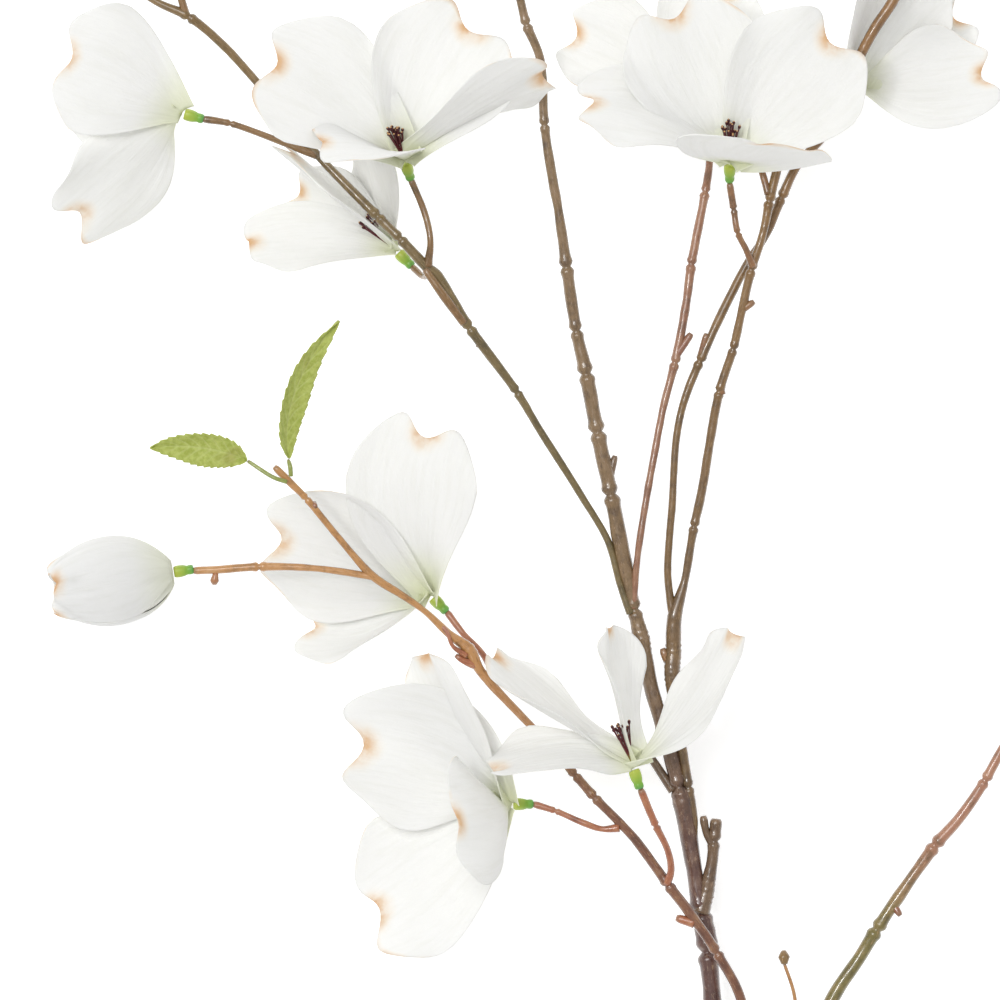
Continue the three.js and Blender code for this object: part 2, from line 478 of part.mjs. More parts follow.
function addFlower(name) {
  const { base, axis, bracts } = FLOWERS[name];
  const mouth = COLLAR_LENGTH - 0.4;
  const foot = vec(...base);
  const way = vec(...axis).normalize();
  const collar = (g) => turned(foot.clone().addScaledVector(way, -COLLAR_LENGTH), way, [
    [-g, COLLAR_FOOT + g], [COLLAR_LENGTH * 0.55, COLLAR_RADIUS + g], [mouth + g, COLLAR_MOUTH + g],
    [mouth + g, PIN_RADIUS + g], [COLLAR_LENGTH + PIN_LENGTH + g, PIN_RADIUS + g],
  ]);
  add(`${name}_collar`, "collar", collar(0), collar(CLEARANCE));
  const stamens = (g) => union([0, 1, 2, 3].map((k) => {
    const lean = k === 0 ? 0 : STAMEN_LEAN;
    const turn = (2 * Math.PI * k) / 3;
    const [across, rise] = [ring(foot, way, 1, 4)[0].sub(foot), ring(foot, way, 1, 4)[1].sub(foot)];
    const out = way.clone()
      .addScaledVector(across, lean * Math.cos(turn)).addScaledVector(rise,
        lean * Math.sin(turn)).normalize();
    const start = foot.clone().addScaledVector(way, STAMEN_START);
    return turned(start, out, [[-g, STAMEN_FOOT + g],
      [STAMEN_LENGTH * (1 - 0.06 * k) + g, STAMEN_RADIUS + g]], 4);
  }));
  add(`${name}_stamens`, "stamen", stamens(0), stamens(CLEARANCE));
  const pair = (g, first, lift) => {
    const centre = foot.clone().addScaledVector(way, lift);
    const half = (BRACT_THICKNESS + g) / 2;
    const disc = turned(centre, way, [[-half, DISC_RADIUS + g], [half, DISC_RADIUS + g]]);
    const blades = [bracts[first], bracts[first + 2]].map((petal) => bract(centre, petal, g));
    return union([disc, ...blades]);
  };
  for (const [layer, first, lift] of LAYERS)
    add(`${name}_${layer}_bracts`, "fabric", pair(0, first, lift), pair(2 * CLEARANCE, first, lift));
}

function addBud(name) {
  const { base, axis, size } = BUDS[name];
  const foot = vec(...base);
  const way = vec(...axis).normalize();
  const [length, radius] = [BUD_LENGTH * size, BUD_RADIUS * size];
  const collarRadius = COLLAR_RADIUS * (0.5 + 0.5 * size);
  const collar = (g) => turned(foot.clone().addScaledVector(way, -COLLAR_LENGTH), way,
    [[-g, COLLAR_FOOT + g], [COLLAR_LENGTH * 0.55, collarRadius + g],
      [COLLAR_LENGTH - 0.4 + g, collarRadius + g]]);
  add(`${name}_collar`, "collar", collar(0), collar(CLEARANCE));
  const shell = (g) => turned(foot, way, BUD_PROFILE.map(([s, r]) => [s * length, r * radius + g]),
    BUD_SIDES);
  add(`${name}_bracts`, "fabric", shell(0), shell(CLEARANCE));
}

function addLeaf(name) {
  const { base, ...blade } = LEAVES[name];
  const build = (g) => bract(vec(...base), { ...blade, cup: LEAF_CUP, notch: LEAF_POINT }, g - LEAF_THINNER);
  add(name, "leaf", build(0), build(CLEARANCE));
}

const wire = trunkWire(0);
add("trunk_wire", "wire", wire, wire);
placed.length = 0; // the trunk is bored for its wire, so nothing else is cut by it
Object.keys(STEMS).forEach((name) => addStem(name));
Object.entries(PETIOLES).forEach(([name, knots]) => add(name, "leaf", tube(knots, 0, 6), tube(knots,
  CLEARANCE, 6)));
Object.keys(BUDS).forEach(addBud);
Object.keys(FLOWERS).forEach(addFlower);
Object.keys(LEAVES).forEach(addLeaf);

// The origin is under the middle of the spray, on the plane that it lies on.
const bounds = new THREE.Box3().setFromObject(spray);
const middle = bounds.getCenter(vec(0, 0, 0));
spray.children.forEach((mesh) => mesh.position.set(-middle.x, -middle.y, -bounds.min.z));

export default spray;
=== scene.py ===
"""Looks for the dogwood branch: an artificial spray lying flat, seen from straight above.

Lengths below are millimetres in the spray's own drawing frame, as in the CAD source; OFFSET, found from
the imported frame, takes them to the frame's origin, and MM turns them into metres.
"""

import math

import bpy
import numpy as np
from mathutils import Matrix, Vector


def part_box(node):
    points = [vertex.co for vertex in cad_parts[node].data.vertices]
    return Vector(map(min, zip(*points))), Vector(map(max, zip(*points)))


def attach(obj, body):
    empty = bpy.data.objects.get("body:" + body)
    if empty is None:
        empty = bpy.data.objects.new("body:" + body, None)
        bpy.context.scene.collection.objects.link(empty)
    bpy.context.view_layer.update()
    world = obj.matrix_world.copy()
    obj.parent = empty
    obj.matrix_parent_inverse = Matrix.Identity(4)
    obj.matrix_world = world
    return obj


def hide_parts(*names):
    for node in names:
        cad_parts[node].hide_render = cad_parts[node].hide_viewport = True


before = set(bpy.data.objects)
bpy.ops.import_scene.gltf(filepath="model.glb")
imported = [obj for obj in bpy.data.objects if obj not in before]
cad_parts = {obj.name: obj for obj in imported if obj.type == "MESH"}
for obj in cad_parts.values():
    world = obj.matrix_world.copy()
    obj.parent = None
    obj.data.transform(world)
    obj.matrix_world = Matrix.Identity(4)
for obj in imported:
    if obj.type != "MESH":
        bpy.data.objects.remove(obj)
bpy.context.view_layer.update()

MM = 0.001
SEED = 7
PICTURE_WIDTH = 360.0  # what the camera takes in, at the flowers' height
CAMERA_HEIGHT = 5000.0
FOCUS_HEIGHT = 35.0
SENSOR = 36.0
REST_SOFTNESS = 0.6  # how gently an edge that meets the table is bent up along it

WAVES = 6  # sine waves in the noise
RANDOM_TURN = 6.28  # a random phase is drawn from about one full turn

FABRIC_THICKNESS = 0.4
RIM_THICKNESS = 0.35  # of a fabric sheet, as a part of its thickness
BRACT_ROWS, BRACT_COLUMNS = 44, 36
NECK_WIDTH, SPREAD_WIDTH, WIDEST_AT = 0.16, 0.84, 0.74  # parts of a bract's width, and of its length
NOTCH_DEPTH = 0.1  # part of a bract's length, where its row gives no other
LAYER_LIFTS = (("outer", 0.6), ("inner", 1.8))  # each crossed pair's height above the collar's mouth
SEEDS_PER_FLOWER = 40
RIM_FLUTTER, BROAD_FOLD, SMALL_FOLD = 0.9, 1.3, 0.5
VEINS = (-0.78, -0.55, -0.33, -0.14, 0.0, 0.14, 0.33, 0.55, 0.78)
VEIN_DEPTH, VEIN_WIDTH = 0.55, 0.065

PINCHED, WRINKLED = 1, 2  # marks in the stems' knots
WAIST_DEPTH, WAIST_LENGTH = 0.34, 0.28  # of a pinched joint, as parts of the stem's radius
SWELL_HEIGHT, SWELL_AWAY, SWELL_LENGTH = 0.17, 0.85, 0.45  # of the two swellings beside its waist
WRINKLE_HEIGHT, WRINKLE_REACH, WRINKLE_RATE, WRINKLE_RELIEF = 0.06, 5.0, 2.9, 1.3
STEM_SIDES, STEM_STEP = 20, 0.9
PETIOLE_SIDES, PETIOLE_STEP = 14, 0.5
STEM_END = (0.93, 0.7)  # how the last two rings shrink, to round the cut end
LUMP_HEIGHT, LUMP_SIZE = 0.05, 2.6
GRIT_SHARE, GRIT_SIZE = 0.35, 0.9
SHOOT_FLARE = 1.15  # how much wider a side shoot is where it leaves its stem

COLLAR_LENGTH, COLLAR_RADIUS = 7.5, 2.2
COLLAR_LOBES, COLLAR_RIDGES = 5, 0.03
STAMEN_COUNT, STAMEN_LENGTH, STAMEN_RADIUS = 16, 15.5, 0.3
STAMEN_START, STAMEN_LEAN, STAMEN_HEAD = 2.6, 0.28, 1.9
GOLDEN_ANGLE = 2.399  # spreads the threads evenly round the tuft
BUD_LENGTH, BUD_RADIUS = 45.0, 16.0
BUD_CORE, BUD_TIP = 0.93, 0.93  # how thick and how long the inside is, as parts of the bud
BUD_BRACT_RADII = (1.0, 0.93, 0.99, 0.92)  # the four closed bracts lie over and under one another
BUD_ROWS, BUD_COLUMNS = 41, 33
LEAF_ROWS, LEAF_COLUMNS = 90, 28
LEAF_TEETH, LEAF_VEINS = 13, 9

WORLD_STRENGTH = 0.60
FLOOR_GLOW = 0.42  # the spray lies on a softly lit white table
FLOOR_SIZE = 40  # metres
# Name, strength, spread and the two tilts: a wide soft lamp above, and a small one for the plastic's shine.
LAMPS = (("overhead", 0.95, 30.0, -14.0, -12.0), ("shine", 0.42, 6.0, -6.0, -24.0))

# ---------------------------------------------------------------- the spray's measurements (as in CAD)

# Stems: knots of [x, y, z, radius] or [x, y, z, radius, mark], with PINCHED or WRINKLED as the mark.
STEMS = {
    "trunk": [
      [87, -316, 5, 4.2], [85, -290, 7, 4, 1], [82.5, -250, 11, 3.9, 1], [79, -212, 14, 3.8, 1],
      [76.5, -178, 17, 3.5], [75, -163, 18, 3.4, 1], [74, -155.5, 18.5, 3.8], [72.5, -148.5, 19, 3.3, 1],
      [70, -133, 20, 2.8], [66, -109, 21, 3.8], [64.5, -103.5, 21.5, 2.5, 1], [62, -93.5, 22, 2.9],
      [59.5, -85, 22.5, 2.7, 1], [55, -69.5, 23, 2.7], [52.5, -59, 23.5, 2.9], [51, -50.5, 24, 3.2, 2],
      [48.5, -39.5, 25, 2.2, 1], [45, -23, 26, 3], [40, 2, 28, 2.7, 1], [35, 24.5, 29.5, 2.6, 1],
      [31, 45.5, 31, 2.5, 1], [27.5, 61, 32, 2.1, 1], [24, 84, 33.5, 2.3, 1], [21, 104.5, 35, 1.7],
      [19, 115, 35.5, 1.9], [16, 135, 36.5, 1.6, 1], [14.5, 158.5, 38, 1.6], [9.5, 171, 39, 1.7, 1],
      [7.5, 179, 39.5, 1.6], [3, 200, 41, 1.5, 1], [0, 216, 42, 1.4],
    ],
    "right_branch": [
      [70.3, -126, 20.8, 0.9], [70, -116, 21.5, 1.5], [68, -103.5, 22, 1.7, 1], [65, -86, 22.5, 1.9, 1],
      [63.5, -76.5, 23, 2], [62, -63, 24, 2.9, 2], [62.5, -55, 24, 2.8, 2], [63, -42, 25, 2.7],
      [66.5, -29.5, 25.5, 1.5], [70, -9.5, 27, 1.6, 1], [72.5, 2, 28, 1.7], [79, 39, 31, 1.6, 1],
      [84, 54.5, 32.5, 1.6, 1], [87.5, 70, 34, 1.6], [90.5, 83, 35, 1.7, 1], [94.5, 95.5, 36, 1.5],
      [97, 107.5, 36, 1.7, 1], [100.5, 123, 35, 1.6], [103, 136, 35, 1.5], [105, 147, 34, 1.4],
    ],
    "outer_branch": [
      [62.5, -43, 25, 1.6], [60.5, -27, 25.5, 1.4], [62, -2.5, 27, 1.4], [64, 25.5, 28, 1.4],
      [67.5, 39, 28.5, 1.5], [72, 50, 29, 1.7, 1], [77, 61, 29.5, 1.6], [83, 73.5, 29, 1.6],
      [89, 85, 28.5, 1.6], [96, 96, 29, 1.6], [101.5, 109, 30, 1.7, 1], [107, 120.5, 31, 1.6],
      [117, 132, 33, 1.6], [125.5, 149.5, 36, 1.7], [128, 156.5, 37, 1.8, 1], [135, 170, 38.5, 1.9],
      [141, 179, 39, 2], [149, 196, 38, 1.8, 1], [154, 212, 36, 1.5],
    ],
    "centre_branch": [
      [48, -39, 26, 1.3], [49.5, -21, 28, 1.2], [52, -4, 28.5, 1.3], [56, 18.5, 28.5, 1.4],
      [59, 34, 28, 1.4],
      [63, 49.5, 28, 1.6, 1], [67, 70, 27.5, 1.6], [69, 85, 27, 1.7, 1], [74, 111, 25, 1.6, 1],
      [75.5, 121.5, 23, 1.4], [75, 130, 21, 1.3], [73, 137, 20.5, 1.3],
    ],
    "left_branch": [
      [47, -41, 26, 1.4], [43, -29.5, 26.5, 1.3], [39, -15, 27, 1.3], [29, 2, 28.5, 1.3],
      [14.5, 25, 31, 1.4],
      [6, 39, 33, 1.6, 1], [-11, 62, 36, 1.8, 1], [-23, 81, 38, 2.3], [-26, 83.5, 38.5, 2],
      [-36, 94, 39, 1.7, 1], [-44, 102, 38, 1.8, 1], [-65, 123.5, 33, 1.5], [-88, 151, 32, 1.5],
      [-100, 164, 33, 1.6], [-112, 174, 34, 1.8, 1], [-123, 179, 34, 1.3], [-134, 186, 34, 1.2],
    ],
    "lower_branch": [
      [82, -234, 16, 2], [87, -216, 20, 2], [90, -196, 22, 1.8], [86, -177.5, 24.5, 1.8],
      [78, -163, 27, 1.8, 1],
      [70, -151, 28.5, 1.9], [60.5, -138.5, 30, 1.8, 1], [48, -121.5, 31, 1.6], [34, -107, 32.5, 1.7, 1],
      [27, -99, 33, 1.6, 1], [16, -86.5, 34, 1.4], [-7, -61.5, 37.5, 1.7], [-11, -54, 38.5, 2.4, 2],
      [-18.5, -48, 40, 1.5], [-27, -40, 42, 1.1], [-35.5, -34, 43, 1.3], [-45.5, -27.5, 44, 1.5],
      [-58, -13.5, 46, 1.2], [-69.5, 0.5, 48, 1.2, 1], [-75, 6, 48.5, 1.4], [-81, 12, 49.5, 1.3],
    ],
    "bud_twig": [
      [-44, -28, 44, 1.3], [-49, -27, 44, 1.3], [-67, -24.5, 45, 1.2], [-86.5, -24, 45, 1.6, 1],
      [-101, -25, 45, 1.4], [-110.2, -25.4, 45, 1.5],
    ],
    "low_right_branch": [
      [85, -262, 11, 2.6], [98, -230, 13, 2.6], [111, -200, 15, 2.7, 1], [121.5, -177.5, 17, 2.5],
      [129, -166.5, 18, 2.4], [136, -155, 19, 2.4, 1], [151, -133, 21, 2.1], [157, -124.5, 22, 2.3, 1],
      [165.5, -115, 23, 2], [175, -101, 24, 1.9, 1], [184, -84, 25, 1.4],
    ],
    "knob_filament": [
      [110, -199, 15, 0.8], [107.5, -188, 18, 0.7], [106, -177.5, 19, 0.7], [102.5, -167, 20, 0.6],
    ],
}

# Side shoots moulded in one piece with a stem.
SHOOTS = {
    "trunk": [
      [[62.5, -105, 21.5, 1.5], [53.5, -91.5, 21, 1.4]],
      [[72.5, -149, 19.5, 2.9], [74.5, -141, 20, 2.7, 2], [76.3, -132, 21, 2.2],
       [77.3, -123, 21.5, 2.1, 1], [78, -115, 22, 2.3]],
      [[77, -125, 21.5, 1.4], [74.5, -120, 22, 1.4], [73.3, -114, 22.5, 1.5]],
      [[38.5, 3, 28, 1.4], [41.5, 16, 28.5, 1.2]],
      [[50.5, -52, 24, 1.5], [47.5, -54.7, 24, 1.4]],
    ],
    "right_branch": [
      [[80, 38, 31, 1.2], [79, 42.5, 31.5, 1.2]], [[88, 69, 34, 1.2], [91.5, 71.5, 34, 1.2]],
      [[96.5, 110, 36, 1.2], [93, 123, 35, 1.2], [91, 131, 34, 1.2]],
      [[60.5, -58, 24, 1.5], [58.5, -53.5, 24.5, 1.3]],
      [[91, 84, 36, 1.3], [88.5, 90, 38.5, 1.1], [85.5, 96, 41, 1.1, 1], [84, 104.5, 41.2, 1.2, 1],
       [82.5, 114, 42.2, 1.35]],
    ],
    "outer_branch": [
      [[72.5, 52, 29, 1.3], [74.5, 60, 30, 1.3]],
      [[121, 140, 34.5, 1.3], [120, 143.5, 31.5, 1.2], [120.8, 144.3, 27.2, 1.35]],
    ],
    "centre_branch": [[[63.5, 52, 28, 1.3], [69, 60, 28.5, 1.4]]],
    "left_branch": [
      [[-8, 56, 35, 1], [-5.5, 54.5, 36.5, 0.7]],
      [[-13, 63.5, 37.5, 1.3], [-20, 73, 39.8, 1.6], [-27, 83, 40, 1.5]],
      [[-113, 174, 34, 1.3], [-117, 190, 35, 1.3], [-118, 200, 35, 1.2]],
      [[-66, 124, 33, 1.3], [-81.5, 130, 33, 1.2], [-97, 135.5, 34, 1.2, 1], [-107.2, 137.2, 34, 1.35]],
      [[-26, 84, 39, 1.5], [-25, 93, 40.5, 1.2], [-27, 103, 39.5, 1.2], [-32.2, 115.6, 39.8, 1.35]],
      [[-25, 82.5, 36, 1.3], [-27.5, 80.5, 28, 1.1], [-31.8, 84.3, 22.2, 1.35]],
    ],
    "lower_branch": [
      [[70, -152.5, 28.5, 1.6], [63.5, -150.5, 28, 1.6]],
      [[-9, -59.5, 38, 1.3], [-13.5, -57.5, 39.5, 1.3], [-16, -55.8, 40, 1.1]],
      [[-12, -56, 40, 1], [-17, -52.5, 41.5, 0.7], [-19, -47.5, 41.5, 0.8], [-21.5, -45, 41, 0.9]],
      [[-67, -1.5, 47.5, 1.1], [-66, -2.5, 49, 0.9]],
      [[-2, -62.5, 36.5, 1.3], [-7, -54.5, 31, 1.1], [-13, -48.5, 27, 1.1], [-19.3, -40.2, 25, 1.35]],
      [[43, -118, 31.5, 1.5], [37, -118.5, 31, 1.1], [30.5, -116.5, 31, 1.2], [20, -112, 30.5, 1.1, 1],
       [11.8, -109.5, 29.6, 1.35]],
      [[60, -138, 30.5, 1.5], [61.5, -134, 33, 1.3], [60.5, -126.5, 37, 1.2], [56, -117, 42, 1.3, 1],
       [50.4, -103.8, 45.3, 1.4]],
    ],
    "bud_twig": [[[-102, -26, 45, 0.8], [-102.5, -29, 44.5, 1.6], [-102.5, -30.5, 44.5, 1]]],
    "low_right_branch": [[[142, -146, 20, 1.2], [144.5, -150, 21, 1.2]]],
    "knob_filament": [[[102.7, -167.5, 20, 1], [102.5, -165, 20.2, 2.1], [102.4, -162.5, 20.3, 1]]],
}

# Flowers: base, the way each faces, and its four bracts, outer and inner in turn. A bract has its notch
# (tip) and the bow of its midrib's middle, both from the base, the way its upper side faces, its width,
# and its bends: cup across, curl and twist along (twist in degrees), and wave at the rim.
FLOWERS = {
    "flower_1": {
      "base": [-114, 139, 34], "axis": [-0.96, 0.26, 0],
      "bracts": [
        dict(tip=[-39.5, 19.5, 12], bow=[-2, 4, 9], face=[-0.2, 0, -1], width=50, cup=-0.06, wave=2.5),
        dict(tip=[-35, -37, 2], bow=[5, -1, 4], face=[-0.45, 0.4, -0.8], width=43, cup=0.1, wave=2.5),
        dict(tip=[-36, 4, -31], bow=[2, 0, -6], face=[-0.6, 0, 0.8], width=36, cup=0.1),
        dict(tip=[-34, 22, -20], bow=[2, 2, -6], face=[-0.6, -0.2, 0.8], width=34, cup=0.1),
      ],
    },
    "flower_2": {
      "base": [-34, 121, 44], "axis": [-0.25, 0.75, 0.6],
      "bracts": [
        dict(tip=[-46, 34, 8], bow=[1, 8, 6], face=[0.2, 0.3, 0.9], width=53, cup=0.1, wave=2.5),
        dict(tip=[50, 29, 12], bow=[-4, 3, 5], face=[-0.42, 0.8, -0.3], width=42,
             cup=0.05, wave=2, notch=0.05, twist=-4),
        dict(tip=[23, 47, -2], bow=[-4, 3, 4], face=[-0.1, -0.1, 1], width=54, cup=0.08, wave=2.5),
        dict(tip=[-29, 7, 27], bow=[6, 2, 9], face=[-0.05, 0.9, 0.35], width=54,
             cup=0.08, wave=1.5, curl=-0.3, notch=0.05),
      ],
    },
    "flower_3": {
      "base": [-37, 89.5, 22], "axis": [-0.7, 0.7, 0],
      "bracts": [
        dict(tip=[-53, 2, 6], bow=[3, 7, 0], face=[0.05, 0.55, 0.83], width=33,
             cup=0.1, wave=1.5, notch=0.02, twist=25),
        dict(tip=[-9, 37, -4], bow=[2, -2, 2], face=[-0.8, -0.2, 0.6], width=34, cup=0.1),
        dict(tip=[-38, 34, 10], bow=[8, -5, 2], face=[0.68, 0.7, 0.12], width=26, cup=0.06),
        dict(tip=[-34, 20, -20], bow=[0, 0, -4], face=[-0.5, 0.3, 0.8], width=32, cup=0.1),
      ],
    },
    "flower_4": {
      "base": [82.5, 120.5, 46.5], "axis": [0, 0.8, 0.6],
      "bracts": [
        dict(tip=[-20, 52, 2], bow=[0, 3, 4], face=[0.1, -0.1, 1], width=51, cup=0.08, wave=2.5),
        dict(tip=[12, 9, 33], bow=[0, -4, 8], face=[0.2, 0.93, 0.2], width=60,
             cup=-0.04, wave=1, curl=-0.5, notch=0.06),
        dict(tip=[36, 43, 6], bow=[0, 3, 4], face=[-0.1, -0.1, 1], width=52, cup=0.08, wave=2.5),
        dict(tip=[-49, 20, 12], bow=[2, 8, 4], face=[0.25, 0.6, 0.72], width=38, cup=0.1, wave=3),
      ],
    },
    "flower_5": {
      "base": [67, 145, 20], "axis": [-0.5, 0.6, -0.3],
      "bracts": [
        dict(tip=[-39, 22, -2], bow=[0, 4, 4], face=[0.2, 0.3, 0.9], width=40, cup=0.1, wave=2.5),
        dict(tip=[24, 22, -17], bow=[0, 2, -2], face=[-0.3, 0, 1], width=34, cup=0.1),
        dict(tip=[14, 37, -2], bow=[0, 2, 4], face=[0, 0, 1], width=42, cup=0.1, wave=2),
        dict(tip=[-22, 12, -18], bow=[0, 2, -4], face=[0, 0.3, 1], width=34, cup=0.1),
      ],
    },
    "flower_6": {
      "base": [127, 148, 27], "axis": [0.8, 0.45, -0.45],
      "bracts": [
        dict(tip=[24, 44, 6], bow=[-5, 2, 4], face=[0.6, -0.3, 0.7], width=50, cup=0.1, wave=2.5),
        dict(tip=[45, 4, 4], bow=[0, -2, 5], face=[0.2, 0.5, 0.85], width=44, cup=0.1, wave=3),
        dict(tip=[37, 26, -22], bow=[-2, 0, -6], face=[0.5, 0.3, 0.8], width=36, cup=0.1),
        dict(tip=[36, 10, -18], bow=[0, -3, -4], face=[0.4, 0.3, 0.8], width=32, cup=0.1),
      ],
    },
    "flower_7": {
      "base": [-24.5, -35, 25], "axis": [-0.7, 0.7, 0],
      "bracts": [
        dict(tip=[-2, 57, 14], bow=[-10, 2, 9], face=[-0.3, -0.1, 0.95], width=50, cup=0.12, wave=2.5),
        dict(tip=[-41, -13, -6], bow=[0, -7, 4], face=[-0.2, 0.8, 0.6], width=44, cup=0.12, wave=2.5),
        dict(tip=[-54, 20, -2], bow=[2, 4, 3], face=[0.1, -0.4, 0.9], width=51, cup=0.12, wave=2.5),
        dict(tip=[-30, 24, -24], bow=[0, 0, -6], face=[-0.5, 0.5, 0.7], width=34, cup=0.1),
      ],
    },
    "flower_8": {
      "base": [4.5, -109.5, 31], "axis": [-1, 0, 0.2],
      "bracts": [
        dict(tip=[-31, 54, 12], bow=[-6, -2, 4], face=[-0.66, -0.42, 0.6], width=36,
             cup=0.1, wave=2, notch=0.01),
        dict(tip=[-19, -5, 33], bow=[8, -2, 6], face=[-0.81, -0.25, -0.5], width=48,
             cup=0.12, wave=1, notch=0.02),
        dict(tip=[-53, 21, 2], bow=[8, 7, 7], face=[-0.2, -0.3, 0.95], width=57, cup=0.08, wave=2.5),
        dict(tip=[-46, -38, -8], bow=[0, -5, 5], face=[-0.2, 0.3, 0.95], width=57, cup=0.08, wave=2.5),
      ],
    },
    "flower_9": {
      "base": [48, -96.5, 46], "axis": [-0.3, 0.95, 0.1],
      "bracts": [
        dict(tip=[36, 48, 12], bow=[7, -5, 4], face=[-0.7, 0.55, 0.45], width=38,
             cup=0.06, wave=3, notch=0.02),
        dict(tip=[-50, -1, 12], bow=[5, 9, 5], face=[0.1, 0.72, 0.65], width=38,
             cup=0.05, wave=3, notch=0.03, twist=45),
        dict(tip=[-8, 50, -4], bow=[-2, 0, -3], face=[0.88, 0.05, 0.42], width=32,
             cup=0.15, wave=2, notch=0.02),
        dict(tip=[-50, 38, -8], bow=[4, -5, 0], face=[0.59, 0.71, 0.36], width=34,
             cup=0.08, wave=3, notch=0.03),
      ],
    },
}

BUDS = {
    "bud": dict(base=[-117.5, -26, 45], axis=[-1, -0.15, 0], size=1),
    "top_bud": dict(base=[-0.5, 224, 42.5], axis=[-0.2, 1, 0], size=0.55),
    "right_bud": dict(base=[156.5, 219, 34.5], axis=[0.4, 0.9, -0.1], size=0.55),
    "low_bud": dict(base=[187.5, -77, 25.5], axis=[0.4, 0.9, 0.1], size=0.5),
}

LEAVES = {
    "leaf_1": dict(base=[-91, 14.5, 50], tip=[-34.5, 4.5, 4], bow=[2, 4, 3],
                   width=12.5, face=[0.2, -0.4, 0.9]),
    "leaf_2": dict(base=[-76, 15, 50], tip=[18, 49.5, 6], bow=[-13, -2, 3],
                   width=12, face=[0.7, 0.1, 0.7]),
}

PETIOLES = {
    "petiole_1": [[-76.5, 6.5, 50.8, 0.8], [-81, 8, 51.5, 0.8], [-90.5, 14, 50, 0.7]],
    "petiole_2": [[-75, 8.5, 50.6, 0.8], [-75.3, 12, 51, 0.8], [-76, 14.5, 50.2, 0.7]],
}

# ---------------------------------------------------------------- small vector helpers


def unit(v):
    v = np.asarray(v, float)
    return v / np.maximum(np.linalg.norm(v, axis=-1, keepdims=True), 1e-9)


def smooth_noise(points, scale, seed):
    """Soft noise between about -1 and 1, from a few sine waves in fixed random directions."""
    rng = np.random.default_rng(seed)
    total = np.zeros(len(points))
    for _ in range(WAVES):
        way = rng.normal(size=3) / scale
        total += np.sin(points @ way + rng.uniform(0, RANDOM_TURN))
    return total / (WAVES / 2)


def catmull(knots, step):
    """Points, radii and distances along a centripetal Catmull-Rom curve, shaped at its marks."""
    marks = np.array([knot[4] if len(knot) > 4 else 0 for knot in knots])
    knots = np.array([knot[:4] for knot in knots], float)
    pos, radius = knots[:, :3], knots[:, 3]
    ends = np.vstack([2 * pos[0] - pos[1], pos, 2 * pos[-1] - pos[-2]])
    points, radii = [], []
    for i in range(len(pos) - 1):
        p0, p1, p2, p3 = ends[i:i + 4]
        t0 = 0.0
        t1 = t0 + np.linalg.norm(p1 - p0) ** 0.5
        t2 = t1 + np.linalg.norm(p2 - p1) ** 0.5
        t3 = t2 + np.linalg.norm(p3 - p2) ** 0.5
        count = max(2, int(round(np.linalg.norm(p2 - p1) / step)))
        for f in np.arange(count) / count:
            t = t1 + f * (t2 - t1)
            a1 = p0 * (t1 - t) / (t1 - t0) + p1 * (t - t0) / (t1 - t0)
            a2 = p1 * (t2 - t) / (t2 - t1) + p2 * (t - t1) / (t2 - t1)
            a3 = p2 * (t3 - t) / (t3 - t2) + p3 * (t - t2) / (t3 - t2)
            b1 = a1 * (t2 - t) / (t2 - t0) + a2 * (t - t0) / (t2 - t0)
            b2 = a2 * (t3 - t) / (t3 - t1) + a3 * (t - t1) / (t3 - t1)
            points.append(b1 * (t2 - t) / (t2 - t1) + b2 * (t - t1) / (t2 - t1))
            radii.append(radius[i] * (1 - f) + radius[i + 1] * f)
    points.append(pos[-1])
    radii.append(radius[-1])
    points, radii = np.array(points), np.array(radii)
    travelled = np.concatenate([[0], np.cumsum(np.linalg.norm(np.diff(points, axis=0), axis=1))])

    def away_from(i):
        return travelled - travelled[np.argmin(np.linalg.norm(points - pos[i], axis=1))]

    for i in np.nonzero(marks == WRINKLED)[0]:
        away = away_from(i)
        rings = 1 + np.sin(away * WRINKLE_RATE) * WRINKLE_RELIEF
        radii *= 1 + WRINKLE_HEIGHT * np.exp(-(away / WRINKLE_REACH) ** 2) * rings
    for i in np.nonzero(marks == PINCHED)[0]:
        away = away_from(i) / radius[i]
        waist = WAIST_DEPTH * np.exp(-(away / WAIST_LENGTH) ** 2)
        radii *= 1 - waist + SWELL_HEIGHT * np.exp(-((np.abs(away) - SWELL_AWAY) / SWELL_LENGTH) ** 2)
    return points, radii, travelled


# ---------------------------------------------------------------- meshes


def make_object(name, verts, faces, material, attributes):
    """A smooth-shaded object from drawing-frame millimetres, with float attributes for its material."""
    mesh = bpy.data.meshes.new(name)
    points = np.asarray(verts) + OFFSET
    points[:, 2] = REST_SOFTNESS * np.logaddexp(0, points[:, 2] / REST_SOFTNESS)
    mesh.from_pydata((points * MM).tolist(), [], [list(map(int, f)) for f in faces])
    mesh.validate()
    mesh.shade_smooth()
    for key, values in attributes.items():
        layer = mesh.attributes.new(key, "FLOAT", "POINT")
        layer.data.foreach_set("value", np.asarray(values, np.float32))
    mesh.materials.append(material)
    thing = bpy.data.objects.new(name, mesh)
    bpy.context.scene.collection.objects.link(thing)
    return thing


def place(thing, slot, *nodes):
    """Makes a mesh the look of one of the frame's nodes."""
    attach(thing, "root")
    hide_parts(*nodes)


def join_parts(parts):
    """Several (verts, faces, attributes) as one."""
    verts, faces, attributes, start = [], [], {}, 0
    for part_verts, part_faces, part_attributes in parts:
        verts.append(part_verts)
        faces += [[i + start for i in face] for face in part_faces]
        for key, values in part_attributes.items():
            attributes.setdefault(key, []).append(values)
        start += len(part_verts)
    return np.vstack(verts), faces, {key: np.concatenate(v) for key, v in attributes.items()}


